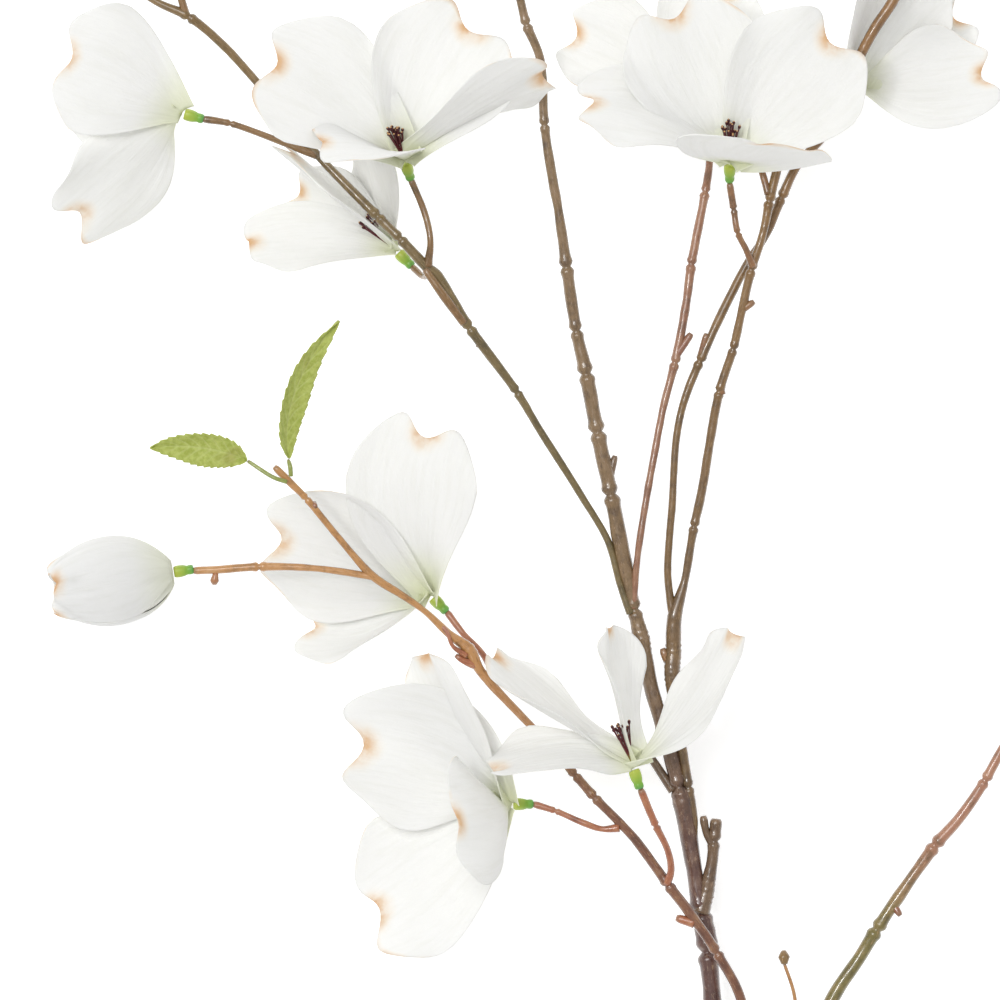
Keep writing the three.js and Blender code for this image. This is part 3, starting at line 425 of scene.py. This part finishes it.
def ring_faces(rows, sides):
    """Faces of a closed tube whose points go round it, ring after ring."""
    faces = []
    for i in range(rows - 1):
        for j in range(sides):
            a, b = i * sides + j, i * sides + (j + 1) % sides
            faces.append([a, b, b + sides, a + sides])
    faces.append(list(range(sides))[::-1])
    faces.append([(rows - 1) * sides + j for j in range(sides)])
    return faces


def axis_frame(axis):
    """An axis as a unit vector, with two more square to it and to each other."""
    axis = unit(axis)
    up = np.array([0, 1.0, 0]) if abs(axis[2]) > 0.9 else np.array([0, 0, 1.0])
    across = unit(np.cross(axis, up))
    return axis, across, np.cross(across, axis)


def tube_part(knots, seed, tone=0.0, step=STEM_STEP, sides=STEM_SIDES):
    """A jointed stem: a tube along its knots, softly lumpy, with a rounded cut end."""
    points, radii, travelled = catmull(knots, step)
    radii[-2:] *= STEM_END
    along = unit(np.gradient(points, axis=0))
    across = unit(np.cross(along, [0, 0, 1.0]))
    rise = np.cross(across, along)
    turn = np.arange(sides) * 2 * math.pi / sides
    ring = (np.cos(turn)[None, :, None] * across[:, None] + np.sin(turn)[None, :, None] * rise[:, None])
    base = points[:, None] + ring * radii[:, None, None]
    flat = base.reshape(-1, 3)
    lump = (smooth_noise(flat, LUMP_SIZE, seed) * LUMP_HEIGHT
            + smooth_noise(flat, GRIT_SIZE, seed + 1) * LUMP_HEIGHT * GRIT_SHARE)
    rows = len(points)
    lump = lump.reshape(rows, sides) * radii[:, None]
    verts = (base + ring * lump[:, :, None]).reshape(-1, 3)
    faces = ring_faces(rows, sides)
    cut = np.zeros((rows, sides))
    cut[-len(STEM_END):] = 1.0
    attributes = {
        "travel": np.repeat(travelled, sides),
        "turn": np.tile(turn, rows),
        "tone": np.full(rows * sides, tone),
        "cut": cut.reshape(-1),
    }
    return verts, faces, attributes


def turned_part(start, axis, profile, sides=28, ridges=0.0, seed=0):
    """A round body along an axis from (distance, radius) rows, its radius softened between them."""
    axis, across, rise = axis_frame(axis)
    profile = np.array(profile, float)
    s = np.linspace(0, 1, 6 * len(profile))
    known = np.linspace(0, 1, len(profile))
    dist, radius = np.interp(s, known, profile[:, 0]), np.interp(s, known, profile[:, 1])
    kernel = np.array([1, 2, 3, 2, 1]) / 9
    radius[2:-2] = np.convolve(radius, kernel, "valid")
    turn = np.arange(sides) * 2 * math.pi / sides
    lobes = 1 + ridges * np.cos(COLLAR_LOBES * turn + 0.4 * seed)
    ring = np.cos(turn)[:, None] * across + np.sin(turn)[:, None] * rise
    verts = start + dist[:, None, None] * axis + (radius[:, None] * lobes)[:, :, None] * ring
    share = np.repeat(s, sides)
    return verts.reshape(-1, 3), ring_faces(len(s), sides), {"along": share}


# ---------------------------------------------------------------- bracts


def width_at(t):
    """A bract's width along its length, as a part of its widest."""
    rise = np.clip(t / WIDEST_AT, 0, 1)
    fall = np.clip(t - WIDEST_AT, 0, None) / 0.3
    return NECK_WIDTH + SPREAD_WIDTH * np.sin(math.pi / 2 * rise) ** 1.15 - 0.06 * fall ** 2


def reach_at(s, notch):
    """A bract's length across its width, s from -1 to 1: a notch in the middle between two lobes."""
    a = np.abs(s)
    return 1 + notch * (1 - np.cos(2 * math.pi * a)) * 0.62 - 0.3 * (1 - np.sqrt(np.maximum(1 - a ** 3, 0)))


def bract_sheet(base, petal, notch, seed):
    """Middle surface of one bract, and how far along and across it each point is."""
    rng = np.random.default_rng(seed)
    tip, bow = np.array(petal["tip"], float), np.array(petal["bow"], float)
    face, width = np.array(petal["face"], float), petal["width"]
    control = tip * 0.5 + bow
    v = np.linspace(0, 1, BRACT_ROWS + 1)[:, None]
    # The columns stand closer together towards the rims.
    crowded = np.sin(np.linspace(-1, 1, BRACT_COLUMNS + 1) * math.pi / 2)
    s = (crowded * 0.6 + np.linspace(-0.4, 0.4, BRACT_COLUMNS + 1))[None, :]
    t = v * reach_at(s, notch)
    s = np.broadcast_to(s, t.shape)
    along = unit(control * (2 - 4 * t)[..., None] + tip * (2 * t)[..., None])
    side = unit(np.cross(along, face))
    angle = math.radians(petal.get("twist", 0)) * (t - 0.3)
    side = side * np.cos(angle)[..., None] + np.cross(along, side) * np.sin(angle)[..., None]
    normal = np.cross(side, along)
    w = width / 2 * width_at(np.minimum(t, 1.1))
    phase = rng.uniform(0, RANDOM_TURN, 3)
    bend = (petal["cup"] * width * s * s * (1.1 - 0.6 * t)
            + petal.get("curl", 0) * width * np.clip(t - 0.6, 0, None) ** 2
            + petal.get("wave", 0) * np.abs(s) ** 3 * np.sin(7 * t + 2 * s))
    rim = np.clip((v - 0.72) / 0.28, 0, 1) ** 2 + np.abs(s) ** 5
    bend = bend + RIM_FLUTTER * rim * np.sin(9 * s + phase[0] + 5 * t) * np.clip(t, 0, 1)
    bend = (bend + BROAD_FOLD * np.sin(2.3 * t + 2.9 * s + phase[1]) * t
            + SMALL_FOLD * np.sin(5 * t - 6 * s + phase[2]) * t)
    grooves = sum(np.exp(-((s - k * (0.75 + 0.25 * t)) / VEIN_WIDTH) ** 2) for k in VEINS)
    bend = bend - VEIN_DEPTH * grooves * np.clip(t * 5, 0, 1) * np.clip(1.05 - t, 0, 1)
    point = (base + control * (2 * t * (1 - t))[..., None] + tip * (t * t)[..., None]
             + side * (s * w)[..., None] + normal * bend[..., None])
    return point, t, s


def sheet_part(point, values):
    """A closed sheet from its middle surface, with a rounded thin rim."""
    du, dv = np.gradient(point, axis=1), np.gradient(point, axis=0)
    normal = unit(np.cross(du, dv))
    rows, columns = point.shape[0] - 1, point.shape[1] - 1
    edge = np.ones((rows + 1, columns + 1))
    edge[:, 0] = edge[:, -1] = edge[-1] = RIM_THICKNESS
    half = (FABRIC_THICKNESS / 2 * edge)[..., None] * normal
    front, back = (point + half).reshape(-1, 3), (point - half).reshape(-1, 3)
    under = len(front)

    def at(i, j):
        return i * (columns + 1) + j

    faces = []
    for i in range(rows):
        for j in range(columns):
            quad = [at(i, j), at(i, j + 1), at(i + 1, j + 1), at(i + 1, j)]
            faces += [quad, [under + k for k in quad[::-1]]]
    loop = ([(0, j) for j in range(columns)] + [(i, columns) for i in range(rows)]
            + [(rows, j) for j in range(columns, 0, -1)] + [(i, 0) for i in range(rows, 0, -1)])
    ids = [at(*ij) for ij in loop]
    for a, b in zip(ids, ids[1:] + ids[:1]):
        faces.append([b, a, under + a, under + b])
    attributes = {key: np.tile(value.reshape(-1), 2) for key, value in values.items()}
    return np.vstack([front, back]), faces, attributes


def bract_part(base, petal, seed):
    """One bract. Its piece number gives each a vein pattern of its own."""
    notch = petal.get("notch", NOTCH_DEPTH)
    point, t, s = bract_sheet(base, petal, notch, seed)
    reach = t / np.maximum(reach_at(s, notch), 0.1)
    piece = np.full_like(t, seed % 97)
    return sheet_part(point, {"along": t, "across": s, "reach": reach, "piece": piece})


# ---------------------------------------------------------------- materials


class Nodes:
    """A short way to write a node material."""

    def __init__(self, name):
        self.material = bpy.data.materials.new(name)
        self.material.use_nodes = True
        self.tree = self.material.node_tree
        self.shader = self.tree.nodes["Principled BSDF"]

    def node(self, kind, **values):
        node = self.tree.nodes.new("ShaderNode" + kind)
        for key, value in values.items():
            if key in node.inputs:
                self.feed(node.inputs[key], value)
            else:
                setattr(node, key, value)
        return node

    def feed(self, socket, value):
        if isinstance(value, bpy.types.NodeSocket):
            self.tree.links.new(value, socket)
        else:
            socket.default_value = value

    def attribute(self, name):
        return self.node("Attribute", attribute_name=name).outputs["Fac"]

    def position(self):
        return self.node("TexCoord").outputs["Object"]

    def math(self, operation, a, b=0.0, clamp=False):
        node = self.node("Math", operation=operation, use_clamp=clamp)
        self.feed(node.inputs[0], a)
        self.feed(node.inputs[1], b)
        return node.outputs[0]

    def noise(self, vector, scale, detail=3.0, roughness=0.5):
        node = self.node("TexNoise", Scale=scale, Detail=detail, Roughness=roughness)
        self.feed(node.inputs["Vector"], vector)
        return node.outputs["Fac"]

    def ramp(self, value, *stops):
        node = self.node("ValToRGB")
        self.feed(node.inputs["Fac"], value)
        band = node.color_ramp
        while len(band.elements) < len(stops):
            band.elements.new(0.5)
        for element, (place_at, colour) in zip(band.elements, stops):
            element.position = place_at
            element.color = (*colour, 1)
        return node.outputs["Color"]

    def level(self, value, low, high):
        """0 below low, 1 above high, smooth between."""
        node = self.node("MapRange", interpolation_type="SMOOTHSTEP")
        for k, item in enumerate((value, low, high, 0.0, 1.0)):
            self.feed(node.inputs[k], item)
        return node.outputs[0]

    def mix(self, share, a, b):
        node = self.node("Mix", data_type="RGBA")
        self.feed(node.inputs[0], share)
        for socket, value in ((node.inputs[6], a), (node.inputs[7], b)):
            self.feed(socket, (*value, 1) if isinstance(value, tuple) else value)
        return node.outputs[2]

    def bump(self, height, distance, strength=1.0, below=None):
        node = self.node("Bump", Distance=distance, Strength=strength, Height=height)
        if below is not None:
            self.feed(node.inputs["Normal"], below)
        return node.outputs["Normal"]

    def finish(self, **sockets):
        for key, value in sockets.items():
            self.feed(self.shader.inputs[key.replace("_", " ")], value)
        return self.material


def srgb(r, g, b):
    """Linear colour from 0-255 sRGB."""
    shares = (r / 255, g / 255, b / 255)
    return tuple(c / 12.92 if c <= 0.04045 else ((c + 0.055) / 1.055) ** 2.4 for c in shares)


def fabric_bump(m, place_at):
    """Fine cloth grain over soft creases."""
    grain = m.noise(place_at, 2600.0, 2.0)
    crease = m.noise(place_at, 190.0, 4.0, 0.55)
    return m.bump(grain, 0.00012, 0.3, m.bump(crease, 0.0006, 0.4))


def bract_material(name, tint=0.55):
    """White stiffened fabric: soft veins, a green tinge at the base, tan stains at the notch and rim."""
    vein_grey, base_green = srgb(228, 228, 220), srgb(222, 228, 168)
    pale_tan, deep_tan = srgb(244, 216, 168), srgb(208, 146, 74)
    m = Nodes(name)
    place_at = m.position()
    along, across, reach = m.attribute("along"), m.attribute("across"), m.attribute("reach")
    spread = m.math("ABSOLUTE", across)
    white = m.mix(m.noise(place_at, 45.0, 4.0), srgb(243, 243, 241), srgb(238, 238, 234))
    stretched = m.math("MULTIPLY", along, 0.25)  # so that the veins run lengthwise
    fan = m.node("CombineXYZ", X=across, Y=stretched, Z=m.attribute("piece")).outputs[0]
    rib = m.noise(fan, 9.0, 3.0, 0.6)
    white = m.mix(m.math("MULTIPLY", m.level(rib, 0.45, 0.68), 0.25), white, vein_grey)
    base = m.math("MULTIPLY", m.level(along, 0.34, 0.0), tint)
    white = m.mix(base, white, base_green)
    near_notch = m.math("MULTIPLY", m.level(reach, 0.86, 1.0), m.level(spread, 0.42, 0.1))
    patchy = m.level(m.noise(place_at, 160.0, 3.0), 0.3, 0.62)
    stain = m.math("MULTIPLY", near_notch, m.math("ADD", m.math("MULTIPLY", patchy, 0.5), 0.5), clamp=True)
    rim_patches = m.level(m.noise(place_at, 38.0, 2.0), 0.52, 0.7)
    rim = m.math("MULTIPLY", m.level(reach, 0.955, 1.0), rim_patches)
    stain = m.math("MAXIMUM", stain, m.math("MULTIPLY", rim, 0.75))
    colour = m.mix(m.math("MULTIPLY", stain, 0.9), white, m.mix(stain, pale_tan, deep_tan))
    ribs = m.bump(rib, 0.0014, 0.35, fabric_bump(m, place_at))
    return m.finish(Base_Color=colour, Roughness=0.72, Normal=ribs, Subsurface_Weight=0.18,
                    Subsurface_Radius=(0.004, 0.004, 0.0035), Subsurface_Scale=1.0, Sheen_Weight=0.08)


def bark_material(name, start, end, pale_grain_and_highlight, shoot, turn_at):
    """Moulded glossy plastic bark: pale lengthwise streaks, partly grain and partly painted highlight,
    mottling, dark pits, painted shade underneath and a pale cut end.

    The colour goes from start to end along the stem, and side shoots have their own."""
    m = Nodes(name)
    place_at = m.position()
    travel, turn, tone = m.attribute("travel"), m.attribute("turn"), m.attribute("tone")
    round_x, round_y = m.math("COSINE", turn), m.math("SINE", turn)
    stretched = m.math("MULTIPLY", travel, 0.10)  # so that the grain runs lengthwise
    wrap = m.node("CombineXYZ", X=round_x, Y=round_y, Z=stretched).outputs[0]
    grain = m.noise(wrap, 3.0, 8.0, 0.68)
    mottle = m.noise(place_at, 150.0, 5.0, 0.65)
    colour = m.mix(m.level(travel, *turn_at), start, end)
    colour = m.mix(tone, colour, shoot)
    colour = m.mix(m.math("MULTIPLY", m.level(mottle, 0.45, 0.75), 0.3), colour, pale_grain_and_highlight)
    dark = tuple(c * 0.30 for c in start)
    colour = m.mix(m.math("MULTIPLY", m.level(mottle, 0.52, 0.3), 0.55), colour, dark)
    # Painted highlight in part: pale lengthwise streaks along the grain stand in for the plastic's shine as
    # well as for its grain.
    colour = m.mix(m.math("MULTIPLY", m.level(grain, 0.55, 0.68), 0.6), colour, pale_grain_and_highlight)
    colour = m.mix(m.math("MULTIPLY", m.level(grain, 0.46, 0.32), 0.6), colour, dark)
    # Painted shade: each stem gets darker from its top down its flanks to its underside, as if lit only
    # from above.
    colour = m.mix(m.math("MULTIPLY", m.level(round_y, 0.8, -0.3), 0.7), colour, dark)
    colour = m.mix(m.math("MULTIPLY", m.attribute("cut"), 0.4), colour, srgb(150, 122, 96))
    pits = m.bump(m.noise(place_at, 900.0, 4.0), 0.00012, 0.4, m.bump(grain, 0.0004, 0.45))
    shine = m.math("ADD", m.math("MULTIPLY", grain, 0.3), 0.1)
    return m.finish(Base_Color=colour, Roughness=shine, Normal=pits, Coat_Weight=0.9, Coat_Roughness=0.12)


def collar_material():
    """Moulded green plastic, paler towards its mouth."""
    m = Nodes("collar_plastic")
    place_at = m.position()
    colour = m.ramp(m.math("ADD", m.attribute("along"), m.math("MULTIPLY", m.noise(place_at, 200.0), 0.3)),
                    (0.1, srgb(88, 160, 84)), (0.55, srgb(128, 176, 62)), (1.0, srgb(178, 192, 78)))
    return m.finish(Base_Color=colour, Roughness=0.34, Normal=m.bump(m.noise(place_at, 700.0), 0.0002, 0.5),
                    Subsurface_Weight=0.1, Subsurface_Radius=(0.001, 0.002, 0.001))


def stamen_material():
    """Dark red threads with a green foot and a tan head."""
    m = Nodes("stamen_threads")
    colour = m.ramp(m.attribute("along"), (0.0, srgb(150, 150, 70)), (0.12, srgb(96, 26, 38)),
                    (0.86, srgb(64, 14, 24)), (0.93, srgb(206, 160, 104)))
    grain = m.bump(m.noise(m.position(), 1500.0), 0.0001, 0.5)
    return m.finish(Base_Color=colour, Roughness=0.5, Normal=grain)


def leaf_material():
    """Printed green fabric: paler veins, brown-green mottling and a fine weave."""
    m = Nodes("leaf_fabric")
    place_at = m.position()
    vein = m.attribute("vein")
    deep_green, soft_green = srgb(158, 170, 70), srgb(190, 200, 108)
    vein_green, brown_green = srgb(204, 212, 136), srgb(150, 138, 70)
    green = m.mix(m.level(m.noise(place_at, 520.0, 6.0, 0.7), 0.3, 0.7), deep_green, soft_green)
    green = m.mix(m.math("MULTIPLY", vein, 0.6), green, vein_green)
    browned = m.math("MULTIPLY", m.level(m.noise(place_at, 90.0), 0.55, 0.75), 0.35)
    green = m.mix(browned, green, brown_green)
    return m.finish(Base_Color=green, Roughness=0.66, Normal=fabric_bump(m, place_at),
                    Subsurface_Weight=0.08, Subsurface_Radius=(0.001, 0.002, 0.0005))


def wire_material():
    m = Nodes("wire_steel")
    steel = m.mix(m.noise(m.position(), 1800.0), srgb(150, 150, 148), srgb(112, 110, 108))
    return m.finish(Base_Color=steel, Metallic=1.0, Roughness=0.35)


def floor_material():
    m = Nodes("pale_floor")
    return m.finish(Base_Color=m.mix(m.noise(m.position(), 2.0), srgb(252, 252, 252), srgb(250, 250, 250)),
                    Roughness=0.9, Emission_Color=(1, 1, 1, 1), Emission_Strength=FLOOR_GLOW)


# ---------------------------------------------------------------- pieces


def collar_profile(size):
    """Rows of (distance, radius): the sleeve on the twig, then the cup that holds the bracts."""
    r = COLLAR_RADIUS * (0.5 + 0.5 * size)
    sleeve = [(0, 1.35), (0.5, 1.7), (1.4, 1.75), (2.2, 1.6)]
    return sleeve + [(3.4, r * 0.92), (5.0, r), (6.4, r * 0.97), (7.1, r * 0.82)]


def collar_part(base, axis, size=1.0, seed=0):
    axis = unit(axis)
    start = np.array(base, float) - axis * COLLAR_LENGTH
    return turned_part(start, axis, collar_profile(size), ridges=COLLAR_RIDGES, seed=seed)


def find_offset():
    """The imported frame's origin, from where the large bud's collar is in it."""
    low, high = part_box("bud_collar")
    verts = collar_part(BUDS["bud"]["base"], BUDS["bud"]["axis"])[0]
    middle = (verts.min(0) + verts.max(0)) / 2
    return (np.array(low) + np.array(high)) / 2 / MM - middle


OFFSET = find_offset()

# Each stem's colour at its foot, at its end, in its pale streaks (partly grain, partly painted highlight),
# and on its side shoots.
BARKS = {
    "trunk": ((92, 58, 50), (130, 104, 70), (172, 144, 118), (108, 82, 56)),
    "right_branch": ((112, 85, 52), (136, 99, 51), (170, 138, 90), (146, 102, 64)),
    "outer_branch": ((119, 90, 50), (147, 104, 58), (174, 136, 88), (136, 92, 60)),
    "centre_branch": ((151, 105, 78), (164, 112, 82), (196, 162, 128), (136, 84, 62)),
    "left_branch": ((110, 93, 52), (127, 99, 56), (162, 136, 90), (134, 98, 56)),
    "lower_branch": ((122, 76, 52), (194, 140, 80), (196, 156, 110), (170, 100, 66)),
    "bud_twig": ((198, 144, 88), (200, 148, 98), (220, 182, 134), (176, 116, 76)),
    "low_right_branch": ((124, 112, 56), (172, 120, 94), (196, 156, 118), (150, 92, 66)),
    "knob_filament": ((186, 134, 80), (192, 144, 88), (210, 172, 120), (134, 104, 58)),
}
PETIOLE_GREEN = ((138, 150, 66), (150, 160, 74), (186, 192, 112), (150, 160, 74))
# Where along a stem its foot's colour gives way to its end's.
COLOUR_TURNS = {"trunk": (170.0, 290.0), "lower_branch": (130.0, 235.0), "low_right_branch": (115.0, 165.0)}
OTHER_COLOUR_TURN = (60.0, 300.0)
PETIOLE_COLOUR_TURN = (0.0, 20.0)


def make_stems():
    for index, (name, knots) in enumerate(STEMS.items()):
        turn_at = COLOUR_TURNS.get(name, OTHER_COLOUR_TURN)
        material = bark_material(name + "_bark", *(srgb(*colour) for colour in BARKS[name]), turn_at)
        parts = [tube_part(knots, 10 * index)]
        for k, shoot in enumerate(SHOOTS.get(name, ())):
            flared = [(*shoot[0][:3], shoot[0][3] * SHOOT_FLARE)] + shoot[1:]
            parts.append(tube_part(flared, 10 * index + k + 1, tone=1.0))
        verts, faces, attributes = join_parts(parts)
        place(make_object(name + "_skin", verts, faces, material, attributes), "bark_plastic", name)


def make_flowers():
    fabric, collar, stamen = bract_material("bract_fabric"), collar_material(), stamen_material()
    for index, (name, flower) in enumerate(FLOWERS.items()):
        axis = unit(flower["axis"])
        base = np.array(flower["base"], float)
        for k, petal in enumerate(flower["bracts"]):
            layer, lift = LAYER_LIFTS[k % 2]
            part = bract_part(base + axis * lift, petal, SEED + SEEDS_PER_FLOWER * index + k)
            place(make_object(f"{name}_bract_{k + 1}", *part[:2], fabric, part[2]), "bract_fabric",
                  f"{name}_{layer}_bracts")
        part = collar_part(base, axis, seed=index)
        place(make_object(name + "_calyx", *part[:2], collar, part[2]), "collar", name + "_collar")
        part = stamen_part(base, axis, SEED + index)
        place(make_object(name + "_tuft", *part[:2], stamen, part[2]), "stamen", name + "_stamens")


def stamen_part(base, axis, seed):
    """A tuft of fine threads that spread from the flower's middle, each with a small head."""
    rng = np.random.default_rng(seed)
    axis, across, rise = axis_frame(axis)
    parts = []
    for k in range(STAMEN_COUNT):
        turn = GOLDEN_ANGLE * k
        lean = STAMEN_LEAN * math.sqrt((k + 0.5) / STAMEN_COUNT)
        out = unit(axis + lean * (math.cos(turn) * across + math.sin(turn) * rise))
        length = STAMEN_LENGTH * rng.uniform(0.75, 1.0)
        thread = [(0, 1.0), (0.5, 0.9), (0.88, 0.8), (0.93, STAMEN_HEAD), (0.97, STAMEN_HEAD), (1.0, 0.4)]
        rows = [(length * share, STAMEN_RADIUS * size) for share, size in thread]
        parts.append(turned_part(base + axis * STAMEN_START, out, rows, sides=8))
    return join_parts(parts)


def make_buds():
    fabric, collar = bract_material("bud_fabric", tint=0.35), collar_material()
    for index, (name, bud) in enumerate(BUDS.items()):
        part = collar_part(bud["base"], bud["axis"], bud["size"], seed=index)
        place(make_object(name + "_calyx", *part[:2], collar, part[2]), "collar", name + "_collar")
        parts = [bud_bract(bud, k) for k in range(4)] + [bud_core(bud)]
        verts, faces, attributes = join_parts(parts)
        place(make_object(name + "_closed_bracts", verts, faces, fabric, attributes), "bract_fabric",
              name + "_bracts")


def bud_plumpness(t):
    """Radius of a closed bud along its length, as a part of the widest."""
    return np.sin(math.pi * np.clip(0.02 + 0.93 * t, 0, 1)) ** 0.5


def bud_core(bud):
    """The plump inside of a bud, which closes the view between the tips of its bracts."""
    length, radius = BUD_LENGTH * bud["size"], BUD_CORE * BUD_RADIUS * bud["size"]
    profile = [(length * v, radius * bud_plumpness(v)) for v in np.linspace(0.02, BUD_TIP, 16)]
    verts, faces, attributes = turned_part(np.array(bud["base"]), bud["axis"], profile)
    share = attributes["along"]
    flat = np.zeros_like(share)
    return verts, faces, {"along": share * 0.9, "across": flat + 0.5, "reach": flat, "piece": flat}


def bud_bract(bud, k):
    """One bract of a closed bud: a spoon round the bud's axis, its rim overlapping the next."""
    axis, across, rise = axis_frame(bud["axis"])
    length, radius = BUD_LENGTH * bud["size"], BUD_RADIUS * bud["size"]
    v = np.linspace(0, 1, BUD_ROWS)[:, None]
    s = np.broadcast_to(np.linspace(-1, 1, BUD_COLUMNS)[None, :], (BUD_ROWS, BUD_COLUMNS))
    t = v * (1 - 0.2 * np.abs(s) ** 3 - 0.05 * (1 - np.abs(s)) ** 6)
    half_angle = math.radians(96) * np.clip(0.6 + 1.2 * t, 0, 1)
    angle = math.radians(62 + 90 * k) + s * half_angle + 0.25 * t
    lip = 0.10 * radius * np.clip((t - 0.8) / 0.2, 0, 1) * (1 - np.abs(s) ** 2)
    r = radius * (bud_plumpness(t) * BUD_BRACT_RADII[k] + 0.025 * np.sin(9 * s + 4 * t + k)) + lip
    r = r - 0.012 * radius * np.cos(26 * s) * t
    reach = length * (0.004 + t * (0.97 + 0.03 * (k % 2)))
    point = (np.array(bud["base"]) + axis * reach[..., None]
             + across * (r * np.cos(angle))[..., None] + rise * (r * np.sin(angle))[..., None])
    values = {"along": t * 0.9, "across": s, "reach": v + 0 * s, "piece": 0 * s + k}
    return sheet_part(point, values)


def make_leaves():
    material = leaf_material()
    for index, (name, leaf) in enumerate(LEAVES.items()):
        part = leaf_part(leaf, index)
        place(make_object(name + "_blade", *part[:2], material, part[2]), "leaf_fabric", name)
    greens = (srgb(*colour) for colour in PETIOLE_GREEN)
    stalk = bark_material("petiole_green", *greens, PETIOLE_COLOUR_TURN)
    for index, (name, knots) in enumerate(PETIOLES.items()):
        part = tube_part(knots, 90 + index, step=PETIOLE_STEP, sides=PETIOLE_SIDES)
        place(make_object(name + "_skin", *part[:2], stalk, part[2]), "leaf_fabric", name)


def leaf_part(leaf, index):
    """A serrated blade with a sunk midrib and side veins."""
    v = np.linspace(0, 1, LEAF_ROWS + 1)[:, None]
    s = np.broadcast_to(np.linspace(-1, 1, LEAF_COLUMNS + 1)[None, :], (LEAF_ROWS + 1, LEAF_COLUMNS + 1))
    t = v + 0 * s
    tip, bow = np.array(leaf["tip"], float), np.array(leaf["bow"], float)
    control = tip * 0.5 + bow
    along = unit(control * (2 - 4 * t)[..., None] + tip * (2 * t)[..., None])
    side = unit(np.cross(along, leaf["face"]))
    normal = np.cross(side, along)
    outline = np.sin(math.pi * np.clip(t, 0, 1) ** 0.82) ** 0.75 + 0.03
    teeth = 0.12 * ((t * LEAF_TEETH + 0.25) % 1.0) * np.clip(t * 8, 0, 1) * np.clip((1 - t) * 8, 0, 1)
    w = leaf["width"] / 2 * (outline - 0.06 + teeth * np.abs(s) ** 6)
    slant = (t * LEAF_VEINS - np.abs(s) * 1.6) % 1.0
    vein = np.exp(-((slant - 0.5) / 0.10) ** 2) * (1 - np.abs(s) ** 3) + np.exp(-(s / 0.06) ** 2)
    bend = 0.12 * leaf["width"] * s * s - 0.22 * vein + 0.5 * np.sin(9 * t + 3 * s + index) * np.abs(s) ** 2
    base = np.array(leaf["base"], float)
    point = (base + control * (2 * t * (1 - t))[..., None] + tip * (t * t)[..., None]
             + side * (s * w)[..., None] + normal * bend[..., None])
    return sheet_part(point, {"along": t, "vein": np.clip(vein, 0, 1)})


def make_wire():
    """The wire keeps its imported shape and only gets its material."""
    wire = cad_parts["trunk_wire"]
    wire.data.materials.clear()
    wire.data.materials.append(wire_material())


# ---------------------------------------------------------------- floor, lights and camera


def make_stage():
    bpy.ops.mesh.primitive_plane_add(size=FLOOR_SIZE)
    floor = bpy.context.object
    floor.name = "floor"
    floor.data.materials.append(floor_material())
    world = bpy.data.worlds.new("soft_studio")
    bpy.context.scene.world = world
    world.use_nodes = True
    background = world.node_tree.nodes["Background"]
    background.inputs["Color"].default_value = (1, 1, 1, 1)
    background.inputs["Strength"].default_value = WORLD_STRENGTH
    for name, strength, spread, tilt, roll in LAMPS:
        lamp = bpy.data.lights.new(name, "SUN")
        lamp.energy = strength
        lamp.angle = math.radians(spread)
        thing = bpy.data.objects.new(name, lamp)
        bpy.context.scene.collection.objects.link(thing)
        thing.rotation_euler = (math.radians(tilt), math.radians(roll), 0)


def make_camera():
    """A long lens high above, so that the spray is seen straight on."""
    camera = bpy.data.cameras.new("camera")
    camera.sensor_width = SENSOR
    camera.lens = SENSOR * (CAMERA_HEIGHT - FOCUS_HEIGHT) / PICTURE_WIDTH
    camera.clip_end = 100
    thing = bpy.data.objects.new("camera", camera)
    bpy.context.scene.collection.objects.link(thing)
    thing.location = (OFFSET[0] * MM, OFFSET[1] * MM, CAMERA_HEIGHT * MM)
    bpy.context.scene.camera = thing


make_stage()
make_camera()
make_wire()
make_stems()
make_flowers()
make_buds()
make_leaves()

bpy.context.scene.view_settings.view_transform = "Standard"

bpy.context.view_layer.update()
